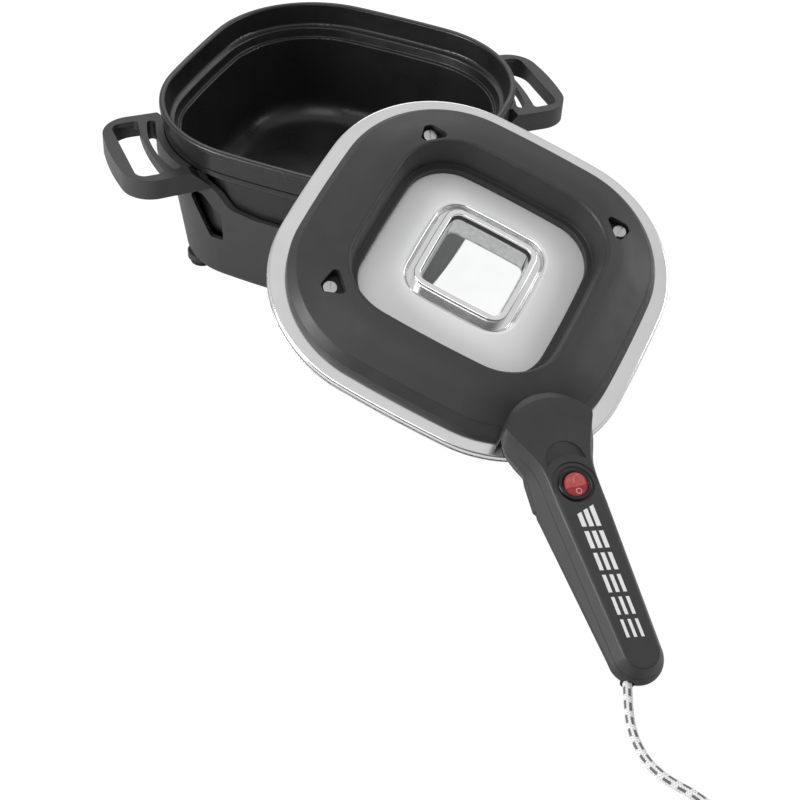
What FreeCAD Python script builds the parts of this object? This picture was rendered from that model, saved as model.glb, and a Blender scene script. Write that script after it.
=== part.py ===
import FreeCAD
import Part
import os
from math import atan2, cos, degrees, pi, radians, sin, sqrt, tan

# Electric roaster: a cast roasting bowl in a plastic stand with two loop handles, and a
# heating lid with a long handle. The lid is off the bowl and leans on its rim.
# Origin on the table under the middle of the appliance without its cord, Z up. The stand's
# handles lie along X and the lid leans towards -Y. The pieces are drawn round the bowl's middle
# and moved along Y at the end.
# Sizes in millimetres, angles in degrees.

V = FreeCAD.Vector
UP = V(0, 0, 1)

# Bowl
rim_half = 132.0            # half width across the flat sides at the rim
rim_corner = 95.0
side_bow = 8.5              # how far the flat sides swell outwards
rim_height = 143.5
rim_bead = 5.0
rim_round = 2.0
collar_height = 19.3
collar_draft = 3.0
groove_depth = 0.9
groove_width = 1.2
well_half = 114.8           # inside of the deep wall, just under its ledge
well_corner = 76.0
well_top = 26.0             # depth of the lower ledge under the rim
ledge_depth = 19.2          # depth of the upper ledge under the rim
ledge_step = 5.2
rim_inner = 12.2
well_floor = 99.0           # depth of the floor under the rim
well_round = 20.0
wall_draft = 0.1            # millimetres inwards for each millimetre down
bowl_wall = 3.8
bowl_floor_wall = 4.0
bowl_clear = 0.8

# Stand
stand_half = 109.0
stand_corner = 56.5
stand_bottom = 8.0
stand_round = 8.0
stand_wall = 4.0
stand_floor_wall = 3.0
stand_draft = 0.15
stand_edge = 82.0           # top edge at the middle of each side
handle_top = 118.5
handle_thick = 17.0
handle_reach = 190.5
handle_half = 48.0
handle_corner = 24.0
handle_plate = 4.0
grip_width = 10.5
hole_inner = 161.0
hole_half = 39.5
hole_end = 157.5            # inner side of the hand hole at its two ends
slot_inner = 98.5           # radius about the bowl corner's centre
slot_width = 7.0
slot_half_angle = 19.0
bridge_height = 8.0
skin = 3.0
recess_depth = 2.6
crown_half = 83.0           # ring wall that the bowl stands on
crown_corner = 34.0
crown_wall = 3.0
rib_count = 8
rib_wall = 2.5
foot_spot = 119.0
foot_radius = 10.5
foot_height = 5.0
toe_radius = 11.8
foot_screw_radius = 1.6
foot_head_radius = 3.4
foot_head_height = 1.8
foot_head_sunk = 1.4
foot_boss_radius = 4.5
foot_boss_height = 12.0

# Lid, in its own frame: X towards the handle, Z out of the lid, flange top at Z 0
lid_half = 136.0
lid_corner = 98.7
lid_bow = 8.8
sheet = 1.0
curl_height = 3.0
pan_sheet = 1.2
pan_depth = 16.3
pan_inset = 16.0
pan_lip = 4.2
cover_inset = 12.5
cover_wall = 2.5
cover_side = 5.5
cover_shoulder = 12.0
cover_crest = 24.5
recess_inset = 54.5
recess_foot = 4.2           # how far the recess wall leans in down to its foot
panel_inset = 63.3
panel_drop = 4.5
panel_rise = 5.0            # top of the dome beside the moat
window_half = 37.4
window_corner = 12.0
window_bow = 0.8
moat_width = 8.6
moat_floor = 0.5
frame_top = 8.5
frame_lip = 4.9
frame_wall = 2.4
glass_thick = 3.8
glass_sunk = 1.3
seal_thick = 1.5
sleeve_wall = 1.0
fit_gap = 0.3

# Heater inside the lid
element_half = 99.0
element_radius = 3.25
element_gap = 12.0
element_leg_top = 10.0
wool_thick = 3.6
clip_sheet = 1.0
clip_width = 10.0
clip_foot = 6.0

# Cover fixings
cover_screws_at = ((90, 112.0, 35), (180, 107.5, -15), (270, 112.0, 70))  # turn, place, slot
pocket_floor = 13.5
pocket_wall = 2.0
pocket_point = 6.5
pocket_base = 12.8
pocket_reach = 15.0
screw_head_radius = 5.4
screw_head_height = 3.0
screw_radius = 2.0
post_radius = 4.0
slot_cut = 1.0

# Lid handle
crest = 27.0                # its top face
head_front = 115.0
head_radius = 35.75
head_corner = 4.0
bevel_front = 120.0         # where the top face starts in front
bevel_radius = 42.0
bevel_height = 2.5
neck_start = 136.0
neck_end = 198.0
neck_step = 5.0             # between the sections that shape the neck
handle_seam = 18.5
handle_low = -4.0           # underside beside the lid
handle_low_end = 2.05       # underside at the tip
handle_front = 153.5
handle_wall = 2.5
roof_pad = 5.0              # thickness of the roof round the switch
seam_gap = 0.25
low_share = 5.0             # how far the flanks lean in down to the underside
grip_end = 303.5            # middle of the round end
end_over = 0.05             # how much wider the round end is drawn before it is trimmed
# place, half width of the top face, greatest half width, its height, rounding of the crest
grip_stations = (
    (neck_start, 32.1, 32.1, 12.0, 0.8), (139.0, 31.3, 32.8, 12.0, 0.8), (142.0, 29.8, 33.1, 12.0, 0.8),
    (146.0, 27.6, 32.9, 12.0, 0.8), (150.0, 25.5, 32.0, 12.0, 0.9), (158.0, 21.8, 29.0, 12.0, 1.0),
    (166.0, 18.8, 25.9, 11.0, 1.2), (174.0, 17.3, 25.4, 9.0, 1.6), (184.0, 16.6, 25.9, 7.0, 2.5),
    (neck_end, 16.3, 26.3, 5.6, 3.0), (grip_end, 12.4, 19.8, 13.5, 1.6),
)
# heel of the lower shell: place, greatest half width
heel_stations = ((162.0, 24.4), (170.0, 26.0), (190.0, 27.2), (193.5, 25.0))
heel_top = 12.0
heel_wide = 4.2             # height of its greatest width

# Switch
switch_spot = 185.0
dish_radius = 13.3
dish_depth = 1.8
step_radius = 16.3
step_depth = 0.9
thumb_spot = 167.0          # crescent hollow for the thumb
thumb_radius = 14.3
thumb_edge = 21.5           # its other side, about the switch
thumb_depth = 1.7
thumb_slope = 7.0
bezel_radius = 11.5
bezel_height = 2.0
can_radius = 9.9
can_depth = 15.0
can_wall = 0.9
rocker_radius = 8.5
rocker_ball = 8.75
rocker_pivot = 2.6          # pivot below the bezel's top
rocker_facet = 11.0
rocker_ridge = 1.5          # ridge between the facets, towards the tip
rocker_pin = 1.0
rocker_pin_end = 9.7
rocker_tilt = 10.0
lamp_radius = 2.4
lamp_length = 8.0
blade_width = 4.8
blade_thick = 0.8
blade_length = 8.0

# White bars on the handle
bar_rows = 6
bar_first = 209.8           # middle of the first row
bar_pitch = 15.7
bar_length = 12.4
bar_width = 3.2
bar_width_end = 2.1
bar_step = 4.95
bar_slant = 0.19            # each row runs a little further along to its right
bar_middle = -0.3
first_row_slant = 0.3       # upper end of the first row, the other way
bar_thick = 0.6
bar_proud = 0.08

# Bracket, screws and wiring inside the handle
bracket_width = 24.0
bracket_sheet = 2.5
bracket_start = 104.0
bracket_end = 172.0
bracket_screw_radius = 2.0
bracket_screw_at = 128.0
handle_screws_at = ((167.0, 17.0), (167.0, -17.0), (264.0, 11.0), (303.0, 8.0))
handle_screw_radius = 1.6
handle_boss_radius = 3.8
boss_rise = 5.5             # how far the screw holes reach above the seam
block_start = 232.0
block_length = 24.0
block_half = 8.0
block_height = 11.0
wire_radius = 1.1
clamp_spot = 288.0
clamp_length = 9.0
clamp_posts = (-8.7, 3.7)
clamp_level = 10.0
clamp_side = -2.5

# Mains cord
cord_radius = 3.15
outlet_place = 318.5
outlet_side = -11.0
outlet_height = 11.5
outlet_turn = 26.0
outlet_ring = 1.6
coil_middle = 35.0          # radius at the middle of the turns
coil_pitch = 8.1            # between turns side by side
coil_layer = 7.2            # between the two layers
coil_turns = 3.5
coil_start_angle = 175.0
plug_radius = 18.6
plug_face = 12.0
plug_body = 36.0
plug_nose_radius = 6.5
pin_radius = 2.4
pin_length = 19.0
pin_step = 9.5

# Where the lid leans
lid_side = 12.9             # sideways place of the lid's middle
lid_forward = 235.6         # how far its middle lies in front of the bowl's
lid_heading = -91.1
lean_gap = 0.3


def wire(edges):
    return Part.Wire(edges)


def line(a, b):
    return Part.LineSegment(a, b).toShape()


def arc(a, middle, b):
    return Part.Arc(a, middle, b).toShape()


def rounded_wire(points, place):
    """Closed wire through (u, v) corners; a third number rounds a corner with that radius."""
    count = len(points)
    flat = [V(p[0], p[1], 0) for p in points]
    ends = []
    for i, point in enumerate(points):
        radius = point[2] if len(point) > 2 else 0
        corner = flat[i]
        if radius == 0:
            ends.append((corner, None, corner))
            continue
        back = (flat[i - 1] - corner).normalize()
        ahead = (flat[(i + 1) % count] - corner).normalize()
        half = back.getAngle(ahead) / 2
        reach = radius / tan(half)
        middle = corner + (back + ahead).normalize() * (radius / sin(half) - radius)
        ends.append((corner + back * reach, middle, corner + ahead * reach))
    edges = []
    for i, (start, middle, end) in enumerate(ends):
        if middle is not None:
            edges.append(arc(*[place(p.x, p.y) for p in (start, middle, end)]))
        following = ends[(i + 1) % count][0]
        if end.distanceToPoint(following) > 1e-5:
            edges.append(line(place(end.x, end.y), place(following.x, following.y)))
    return wire(edges)


def with_chords(corners, count):
    """The same chain of corners, its round ones cut to that many chords."""
    points = [corners[0]]
    for before, corner, after in zip(corners, corners[1:], corners[2:]):
        here = V(corner[0], corner[1], 0)
        back = (V(before[0], before[1], 0) - here).normalize()
        ahead = (V(after[0], after[1], 0) - here).normalize()
        half = back.getAngle(ahead) / 2
        middle = here + (back + ahead).normalize() * (corner[2] / sin(half))
        start = here + back * (corner[2] / tan(half)) - middle
        way = 1 if back.cross(ahead).z < 0 else -1
        for k in range(count + 1):
            turn = FreeCAD.Rotation(UP, way * (180 - degrees(2 * half)) * k / count)
            point = middle + turn.multVec(start)
            points.append((point.x, point.y))
    return points + [corners[-1]]


def upright_face(points):
    """Face in the XZ plane: u outwards, v up."""
    return Part.Face(rounded_wire(points, lambda u, v: V(u, 0, v)))


def level_prism(points, low, high):
    """Prism over a level outline of (x, y) corners."""
    face = Part.Face(rounded_wire(points, lambda u, v: V(u, v, low)))
    return face.extrude(V(0, 0, high - low))


def box(x0, x1, y0, y1, z0, z1):
    return Part.makeBox(x1 - x0, y1 - y0, z1 - z0, V(x0, y0, z0))


def cylinder(radius, x, y, z0, z1):
    return Part.makeCylinder(radius, z1 - z0, V(x, y, z0))


def fuse(shapes):
    return shapes[0].multiFuse(shapes[1:]).removeSplitter()


def cut(shape, tools):
    return shape.cut(tools).removeSplitter()


def cut_in_turn(shape, tools):
    for tool in tools:
        shape = shape.cut(tool)
    return shape.removeSplitter()


def mirrored(points, signs=(1, -1)):
    """Corners of one half, joined to their mirror images."""
    return points + [(signs[0] * p[0], signs[1] * p[1]) + tuple(p[2:]) for p in reversed(points)]


class Outline:
    """Square with round corners on the X and Y axes and four sides that swell a little."""

    def __init__(self, half, corner, bow):
        side = (half * half + bow * bow) / (2 * bow)
        behind = side - half
        reach = side - corner
        centre = (sqrt(2 * reach * reach - behind * behind) - behind) / 2
        swing = degrees(atan2(centre, centre + behind))
        self.arcs = []
        for quarter in range(4):
            turn = 45 + 90 * quarter
            spin = FreeCAD.Rotation(UP, turn)
            self.arcs.append((spin.multVec(V(-behind, 0, 0)), side, turn - swing, 2 * swing))
            middle = spin.multVec(V(centre, centre, 0))
            self.arcs.append((middle, corner, turn + swing, 90 - 2 * swing))
        self.corner_centre = centre * sqrt(2)
        self.corner_reach = self.corner_centre + corner

    def wire(self, offset, height):
        edges = []
        for centre, radius, start, sweep in self.arcs:
            ends = [radians(start + sweep * share) for share in (0, 0.5, 1)]
            far = radius + offset
            edges.append(arc(*[centre + V(far * cos(a), far * sin(a), height) for a in ends]))
        return wire(edges)

    def plate(self, offset, low, high):
        return Part.Face(self.wire(offset, low)).extrude(V(0, 0, high - low))

    def ring(self, points):
        """Profile of (offset, height) corners carried round the outline."""
        pieces = []
        for centre, radius, start, sweep in self.arcs:
            face = upright_face(points)
            face.translate(V(radius, 0, 0))
            face.rotate(V(0, 0, 0), UP, start)
            face.translate(centre)
            pieces.append(face.revolve(centre, UP, sweep))
        return fuse(pieces)

    def filled(self, points, core, low, high):
        """Ring whose inner side stands at the offset core, with its middle filled."""
        return fuse([self.ring(points), self.plate(core, low, high)])


rim = Outline(rim_half, rim_corner, side_bow)
well = Outline(well_half, well_corner, side_bow)
stand = Outline(stand_half, stand_corner, side_bow)
crown = Outline(crown_half, crown_corner, side_bow)
lid = Outline(lid_half, lid_corner, lid_bow)
window = Outline(window_half, window_corner, window_bow)

bowl_bottom = rim_height - well_floor - bowl_floor_wall


def bowl_body(grow):
    """Outside of the deep part of the bowl, or the room for it."""
    top = rim_height - well_top
    high = rim_height - ledge_depth - 3
    side = bowl_wall + grow
    core = -50.0
    return well.filled([
        (core, bowl_bottom), (side - wall_draft * (top - bowl_bottom), bowl_bottom, well_round + bowl_wall),
        (side, top), (side, high), (core, high),
    ], core, bowl_bottom, high)


def bowl():
    top = rim_height
    shoulder = top - collar_height
    core = -40.0
    collar = rim.filled([
        (core, top), (0, top, rim_round), (0, top - rim_bead, 1.0),
        (-1.6, top - rim_bead - 1.2, 0.8), (-collar_draft, shoulder),
        (-collar_draft - groove_depth, shoulder - 0.3),
        (-collar_draft - groove_depth, shoulder - groove_width),
        (-collar_draft - 0.1, shoulder - groove_width - 0.3),
        (-collar_draft - 0.6, shoulder - 7, 5.0), (-14.5, shoulder - 13, 4.0),
        (core, shoulder - 13),
    ], core, shoulder - 13, top)
    core = -50.0
    floor = top - well_floor
    depth = top - well_top - floor
    cavity = well.filled([
        (core, floor), (-wall_draft * depth, floor, well_round), (0, top - well_top, 1.2),
        (ledge_step - 1.8, top - well_top - 0.6, 0.8), (ledge_step, top - ledge_depth, 1.2),
        (rim_inner - 2.4, top - ledge_depth + 1.2, 2.4), (rim_inner, top, rim_round),
        (rim_inner + 12, top), (rim_inner + 12, top + 5), (core, top + 5),
    ], core, floor, top + 5)
    return cut(fuse([collar, bowl_body(0)]), [cavity])


def stand_shell_solid(inset, low, high, corner_round):
    """The stand's tapered outside, or its inside when inset by the wall."""
    core = -45.0
    at_low = (low - stand_bottom) * stand_draft - inset
    at_high = (high - stand_bottom) * stand_draft - inset
    return stand.filled([
        (core, low), (at_low, low, corner_round), (at_high, high), (core, high),
    ], core, low, high)


def bowl_room():
    """Room that the stand leaves round the bowl's collar and body."""
    shoulder = rim_height - collar_height
    clear = bowl_clear
    core = -40.0
    collar = rim.filled([
        (core, rim_height), (clear - collar_draft, rim_height), (clear - collar_draft, shoulder),
        (clear - collar_draft - 0.6, shoulder - 7 - clear), (clear - 14.5, shoulder - 13 - clear),
        (core, shoulder - 13 - clear),
    ], core, shoulder - 13 - clear, rim_height)
    return [collar, bowl_body(clear)]


def edge_cutter():
    """What is taken off the stand's top: low along each side, rising in an S to the handles."""
    points = [
        (36.0, 200.0), (36.0, handle_top + 2, 3.0), (42.0, handle_top - 11, 6.0),
        (50.0, handle_top - 19, 5.0), (56.0, stand_edge + 4, 7.0), (72.0, stand_edge, 12.0),
        (220.0, stand_edge), (220.0, 200.0),
    ]
    tools = []
    for side in (1, -1):
        face = Part.Face(rounded_wire(points, lambda u, v: V(-220, side * u, v)))
        tools.append(face.extrude(V(440, 0, 0)))
    return tools


def slot_face(low):
    """Crescent slot beside the bowl, its ends rounded."""
    middle = -rim.corner_centre
    arcs = []
    for radius, way in ((slot_inner, 1), (slot_inner + slot_width, -1)):
        turns = [radians(180 + way * slot_half_angle * share) for share in (-1, 0, 1)]
        arcs.append([V(middle + radius * cos(a), radius * sin(a), low) for a in turns])
    edges = []
    for near, far in ((arcs[0], arcs[1]), (arcs[1], arcs[0])):
        edges.append(arc(*near))
        across = far[0] - near[2]
        bulge = V(-across.y, across.x, 0) * 0.5
        if bulge.dot(near[2] - near[0]) < 0:
            bulge = bulge * -1
        edges.append(arc(near[2], near[2] + across * 0.5 + bulge, far[0]))
    return Part.Face(wire(edges))


def loop_handle():
    """Loop on the stand's corner at negative X: a grip, a hand hole and a crescent slot."""
    low = handle_top - handle_thick
    outer = mirrored([(-124.0, 46.5), (-handle_reach + 3.5, handle_half + 0.7, handle_corner)])
    outer.insert(2, (-handle_reach - 1.3, 0, 200.0))
    block = level_prism(outer, low, handle_top)
    hole_corners = mirrored([
        (-hole_end, hole_half, 3.0), (-handle_reach + grip_width, hole_half, 8.0),
    ])
    hole_corners.append((-hole_inner - 2.5, 0, 200.0))
    hole = level_prism(hole_corners, low - 1, handle_top + 1)
    slot = slot_face(low - 1).extrude(V(0, 0, handle_thick + 2))
    channel = mirrored([
        (-hole_end + 4, 46.5 - skin),
        (-handle_reach + 3.5 + skin, handle_half - skin, handle_corner - skin),
    ])
    hollow = level_prism(channel, low - 1, handle_top - handle_plate)
    bridge = cut(level_prism([
        (-hole_inner - 1, -handle_half), (-hole_end + 8, -handle_half), (-hole_end + 8, handle_half),
        (-hole_inner - 1, handle_half),
    ], handle_top - bridge_height, handle_top), [hole, slot])
    hollow = cut(hollow, [bridge])
    slope = Part.Face(rounded_wire([
        (-139.0, handle_top), (-120.0, handle_top), (-120.0, handle_top - 19),
    ], lambda u, v: V(u, -70, v))).extrude(V(0, 140, 0))
    slope = cut(slope, [box(-145, -110, -36, 36, low - 1, handle_top + 1)])
    return cut(block, [hole, slot, hollow, slope])


def wall_recess():
    """Hollow in the stand's side beside a handle, following the wall."""
    points = [
        (48.5, 49.5, 2.0), (60.5, 49.5, 2.0), (76.5, 84.5, 3.0), (73.0, 94.0, 2.0), (63.0, 92.0, 3.0),
        (54.0, 81.0, 6.0), (48.5, 77.5),
    ]
    prism = Part.Face(rounded_wire(points, lambda u, v: V(60, u, v))).extrude(V(90, 0, 0))
    return prism.cut(stand_shell_solid(recess_depth, stand_bottom, handle_top, stand_round))


def stand_solid():
    outside = stand_shell_solid(0, stand_bottom, handle_top, stand_round)
    inside_low = stand_bottom + stand_floor_wall
    inside = stand_shell_solid(stand_wall, inside_low, handle_top + 1, stand_round - stand_floor_wall)
    shell = cut(outside, [inside])
    shell = cut(shell, edge_cutter())
    handles = []
    for turn in (0, 180):
        loop = loop_handle()
        loop = cut(loop, [inside])
        loop.rotate(V(0, 0, 0), UP, turn)
        handles.append(loop)
    recesses = []
    for turn, flip in ((45, 1), (45, -1), (225, 1), (225, -1)):
        tool = wall_recess()
        if flip < 0:
            tool = tool.mirror(V(0, 0, 0), V(0, 1, 0))
        tool.rotate(V(0, 0, 0), UP, turn if flip < 0 else turn + 90)
        recesses.append(tool)
    crown_wallring = crown.ring([
        (0, inside_low), (0, bowl_bottom), (-crown_wall, bowl_bottom), (-crown_wall, inside_low),
    ])
    ribs = []
    for count in range(rib_count):
        rib = box(crown_half - 2, 140, -rib_wall / 2, rib_wall / 2, inside_low, bowl_bottom - 3)
        rib.rotate(V(0, 0, 0), UP, 45 / 2 + 360 / rib_count * count)
        ribs.append(rib.common(inside))
    bosses = []
    for x, y in foot_spots():
        bosses.append(cylinder(foot_boss_radius, x, y, inside_low, inside_low + foot_boss_height))
        bosses.append(cylinder(toe_radius, x, y, foot_height, inside_low))
    body = fuse([shell] + handles + [crown_wallring] + ribs + bosses)
    holes = []
    for x, y in foot_spots():
        holes.append(cylinder(foot_screw_radius, x, y, 0, inside_low + foot_boss_height - 2))
    return cut(body, recesses + holes + bowl_room())


def foot_spots():
    return [(foot_spot, 0), (0, foot_spot), (-foot_spot, 0), (0, -foot_spot)]


def foot(x, y):
    profile = upright_face([
        (foot_screw_radius + 0.2, foot_head_sunk + foot_head_height),
        (foot_head_radius + 0.4, foot_head_sunk + foot_head_height), (foot_head_radius + 0.4, 0),
        (foot_radius - 1, 0, 0.8), (foot_radius, foot_height), (foot_screw_radius + 0.2, foot_height),
    ])
    solid = profile.revolve(V(0, 0, 0), UP, 360)
    solid.translate(V(x, y, 0))
    return solid


def foot_screws():
    screws = []
    top = stand_bottom + stand_floor_wall + foot_boss_height - 3
    for x, y in foot_spots():
        head = cylinder(foot_head_radius, x, y, foot_head_sunk, foot_head_sunk + foot_head_height)
        shank = cylinder(foot_screw_radius, x, y, foot_head_sunk + foot_head_height - 0.1, top)
        cross = [box(x - 2, x + 2, y - 0.5, y + 0.5, 0, foot_head_sunk + 1)]
        cross.append(box(x - 0.5, x + 0.5, y - 2, y + 2, 0, foot_head_sunk + 1))
        screws.append(cut(fuse([head, shank]), cross))
    return screws


def lid_shell():
    """Chrome pressing: curled flange, step down under the cover, low dome and window moat."""
    drop = -panel_drop
    flange = lid.ring([
        (-panel_inset, drop), (-panel_inset + 8, drop, 2.0), (-panel_inset + 14, 0, 2.0),
        (0, 0, 2.0), (0, -curl_height), (-sheet, -curl_height), (-sheet, -sheet, 1.0),
        (-panel_inset + 14.4, -sheet, 1.5), (-panel_inset + 8.4, drop - sheet, 2.0),
        (-panel_inset, drop - sheet),
    ])
    base_ring = lid.wire(-panel_inset, drop)
    edge_plate = lid.plate(-panel_inset, drop - sheet, drop)
    crest_ring = window.wire(moat_width, panel_rise)
    dome = Part.makeLoft([base_ring, crest_ring], True, True)
    under = dome.copy()
    under.translate(V(0, 0, -sheet))
    opening = window.plate(moat_width, -10, 20)
    dome = cut(fuse([dome, edge_plate]), [under, opening])
    moat = window.ring([
        (moat_width, panel_rise), (moat_width - 3.0, panel_rise - 0.6, 2.0), (4.4, moat_floor, 1.4),
        (-1.6, moat_floor), (-1.6, moat_floor - sheet), (5.2, moat_floor - sheet, 1.4),
        (moat_width - 2.2, panel_rise - 1.7, 1.4), (moat_width, panel_rise - sheet),
    ])
    holes = [cylinder(element_radius + 1, x, y, -5, 5) for x, y in element_legs()]
    holes += [cylinder(bracket_screw_radius, bracket_screw_at, 0, -5, 5)]
    return cut(fuse([flange, dome, moat]), holes)


def lid_pan():
    """Pressed inner pan that closes the heater from below and sits in the bowl's mouth."""
    top = -sheet
    low = -pan_depth
    inner = -40.0
    ring = lid.ring([
        (-pan_inset - pan_sheet, top), (-1.6, top, 1.0), (-1.6, top - 3.0), (0.4, top - 3.0, 0.5),
        (0.4, top - pan_lip, 0.5), (-1.6 - pan_sheet, top - pan_lip), (-1.6 - pan_sheet, top - pan_sheet),
        (-pan_inset, top - pan_sheet, 1.5), (-pan_inset - 2.8, low, 4.0), (inner, low),
        (inner, low + pan_sheet), (-pan_inset - 2.6 - pan_sheet, low + pan_sheet, 2.8),
    ])
    plate = lid.plate(inner, low, low + pan_sheet)
    opening = window.plate(-frame_wall - fit_gap - 3.6, low - 1, low + 5)
    return cut(fuse([ring, plate]), [opening])


def window_frame():
    return window.ring([
        (0, moat_floor), (0, frame_top, 1.3), (-frame_lip, frame_top, 0.8),
        (-frame_lip, frame_top - glass_sunk), (-frame_wall, frame_top - glass_sunk),
        (-frame_wall, moat_floor),
    ])


glass_top = frame_top - glass_sunk
glass_low = glass_top - glass_thick
glass_inset = frame_wall + fit_gap
seal_low = glass_low - seal_thick
seal_width = 2.4


def window_glass():
    return window.plate(-glass_inset, glass_low, glass_top)


def window_seal():
    return window.ring([
        (-glass_inset, seal_low), (-glass_inset, glass_low),
        (-glass_inset - seal_width, glass_low), (-glass_inset - seal_width, seal_low),
    ])


def window_sleeve():
    """Square steel sleeve that keeps the heater space shut round the window."""
    outer = -glass_inset
    inner = -glass_inset - seal_width - sleeve_wall
    floor = -pan_depth + pan_sheet
    return window.ring([
        (outer, seal_low), (inner, seal_low), (inner, floor), (outer + 1.2, floor),
        (outer + 1.2, floor + sleeve_wall), (inner + sleeve_wall, floor + sleeve_wall),
        (inner + sleeve_wall, seal_low - sleeve_wall), (outer, seal_low - sleeve_wall),
    ])


element_offset = element_half - lid_half
element_level = -pan_depth + pan_sheet + clip_foot - clip_sheet


def element_legs():
    reach = lid.corner_reach + element_offset
    radius = reach - lid.corner_centre
    x = lid.corner_centre + sqrt(radius * radius - element_gap * element_gap)
    return [(x, element_gap), (x, -element_gap)]


def heating_element():
    """Tubular element: one loop under the flange, its two ends turned up at the handle."""
    pieces = []
    for centre, radius, start, sweep in lid.arcs:
        far = radius + element_offset
        circle = Part.Circle(V(far, 0, element_level), V(0, 1, 0), element_radius)
        face = Part.Face(wire([circle.toShape()]))
        face.rotate(V(0, 0, 0), UP, start)
        face.translate(centre)
        pieces.append(face.revolve(centre, UP, sweep))
    loop = fuse(pieces)
    legs = element_legs()
    loop = cut(loop, [box(60, 140, -element_gap, element_gap, -30, 30)])
    ends = []
    for x, y in legs:
        ends.append(Part.makeSphere(element_radius + 0.15, V(x, y, element_level)))
        ends.append(cylinder(element_radius, x, y, element_level, element_leg_top - 5))
        ends.append(cylinder(element_radius - 1, x, y, element_leg_top - 5.1, element_leg_top - 2))
    return fuse([loop] + ends)


def element_terminals():
    """Flat push-on blades welded to the element's cold ends."""
    blades = []
    for x, y in element_legs():
        blade = box(x - 3.15, x + 3.15, y - 0.4, y + 0.4, element_leg_top - 2, element_leg_top + 6)
        eye = Part.makeCylinder(0.8, 4, V(x, y - 2, element_leg_top + 2.5), V(0, 1, 0))
        blades.append(cut(blade, [eye]))
    return blades


def element_clips():
    """Bridge clips that hold the element's loop down on the pan, one at the middle of each side."""
    clips = []
    floor = -pan_depth + pan_sheet
    inner = element_radius + 0.05
    top = element_level + element_radius
    for turn in (45, 135, 225, 315):
        middle = element_half
        bridge = box(middle - inner - clip_sheet, middle + inner + clip_sheet,
                     -clip_width / 2, clip_width / 2, top, top + clip_sheet)
        sides = []
        for side in (-1, 1):
            near = middle + side * inner
            far = near + side * clip_sheet
            sides.append(box(min(near, far), max(near, far), -clip_width / 2, clip_width / 2, floor, top))
            out = far + side * 4
            sides.append(box(min(far, out), max(far, out), -clip_width / 2, clip_width / 2,
                             floor, floor + clip_sheet))
        clip = fuse([bridge] + sides)
        clip.rotate(V(0, 0, 0), UP, turn)
        clips.append(clip)
    return clips


def wool_ring():
    ring = lid.ring([
        (-46.0, -sheet - wool_thick), (-46.0, -sheet), (-19.6, -sheet), (-19.6, -sheet - wool_thick),
    ])
    return cut(ring, [cylinder(element_radius + 1, x, y, -20, 5) for x, y in element_legs()])


def thermostat():
    """Disc thermostat that sits on the pressing under the cover."""
    x, y = 88.0, 52.0
    disc = cylinder(8.0, x, y, 0, 5.0)
    cap = cylinder(6.8, x, y, 5.0, 10.0)
    ear = box(x - 12, x + 12, y - 2.5, y + 2.5, 0, 0.8)
    tabs = [box(x - 5 + s, x - 4.4 + s, y - 2.4, y + 2.4, 10, 14) for s in (0, 9)]
    return fuse([disc, cap, ear] + tabs)


def thermal_fuse():
    """Thermal cut-out in its sleeve, clipped flat on the pressing."""
    x, y, radius, length = 86.0, -56.0, 2.2, 13.0
    axis = V(1, 1, 0).normalize()
    body = Part.makeCylinder(radius, length, V(x, y, radius), axis)
    leads = Part.makeCylinder(0.5, length + 14, V(x, y, radius) - axis * 7, axis)
    clip = box(-2, 2, -3.5, 3.5, 0, 2 * radius + 0.6)
    clip = cut(clip, [Part.makeCylinder(radius, 10, V(-5, 0, radius), V(1, 0, 0))])
    clip.rotate(V(0, 0, 0), UP, 45)
    clip.translate(V(x, y, 0) + axis * (length / 2))
    return fuse([body, leads, clip])


def cover_envelope():
    """Outside of the black cover as a full solid."""
    core = -90.0
    return lid.filled([
        (core, -2.0), (-cover_inset, 0), (-cover_inset, cover_side, 1.2),
        (-cover_inset - 5.5, cover_shoulder, 3.0), (-recess_inset + 17, cover_crest - 3.5, 60.0),
        (-recess_inset, cover_crest, 2.5), (core, cover_crest - 0.5),
    ], core, -2.0, cover_crest - 0.5)


def pocket_outline(spot, grow):
    """Rounded triangle, its point outwards, in which a cover screw sits."""
    point = spot + pocket_point + grow
    back = spot - pocket_reach + pocket_point - grow
    half = pocket_base + grow
    return [(point, 3.0, 3.0 + grow / 2), (point, -3.0, 3.0 + grow / 2),
            (back, -half, 3.5 + grow / 2), (back, half, 3.5 + grow / 2)]


def cover_ring():
    wall = cover_wall
    ring = lid.ring([
        (-cover_inset, 0), (-cover_inset, cover_side, 1.2), (-cover_inset - 5.5, cover_shoulder, 3.0),
        (-recess_inset + 17, cover_crest - 3.5, 60.0), (-recess_inset, cover_crest, 2.5),
        (-recess_inset - recess_foot, 1.4, 0.6), (-panel_inset, 1.4, 0.4), (-panel_inset, -panel_drop),
        (-panel_inset + 2.0, -panel_drop), (-panel_inset + 2.0, 0.0),
        (-recess_inset - recess_foot + wall, 0.0, 1.0),
        (-recess_inset + wall, cover_crest - wall - 0.2, 2.0),
        (-recess_inset + 17, cover_crest - 3.5 - wall, 57.0),
        (-cover_inset - 6.6, cover_shoulder - wall, 2.0), (-cover_inset - wall, cover_side - 0.8, 1.0),
        (-cover_inset - wall, 0),
    ])
    whole = cover_envelope()
    bosses = []
    pockets = []
    for turn, spot, _ in cover_screws_at:
        boss = level_prism(pocket_outline(spot, pocket_wall), pocket_floor - pocket_wall, 60)
        pocket = level_prism(pocket_outline(spot, 0), pocket_floor, 60)
        bore = cylinder(screw_radius + 0.3, spot, 0, 0, 60)
        for piece, group in ((boss, bosses), (pocket, pockets), (bore, pockets)):
            piece.rotate(V(0, 0, 0), UP, turn)
            group.append(piece.common(whole) if group is bosses else piece)
    notch = box(lid.corner_reach - 40, 160, -15, 15, -1, 10.5)
    return cut(fuse([ring] + bosses), pockets + [notch])


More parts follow.
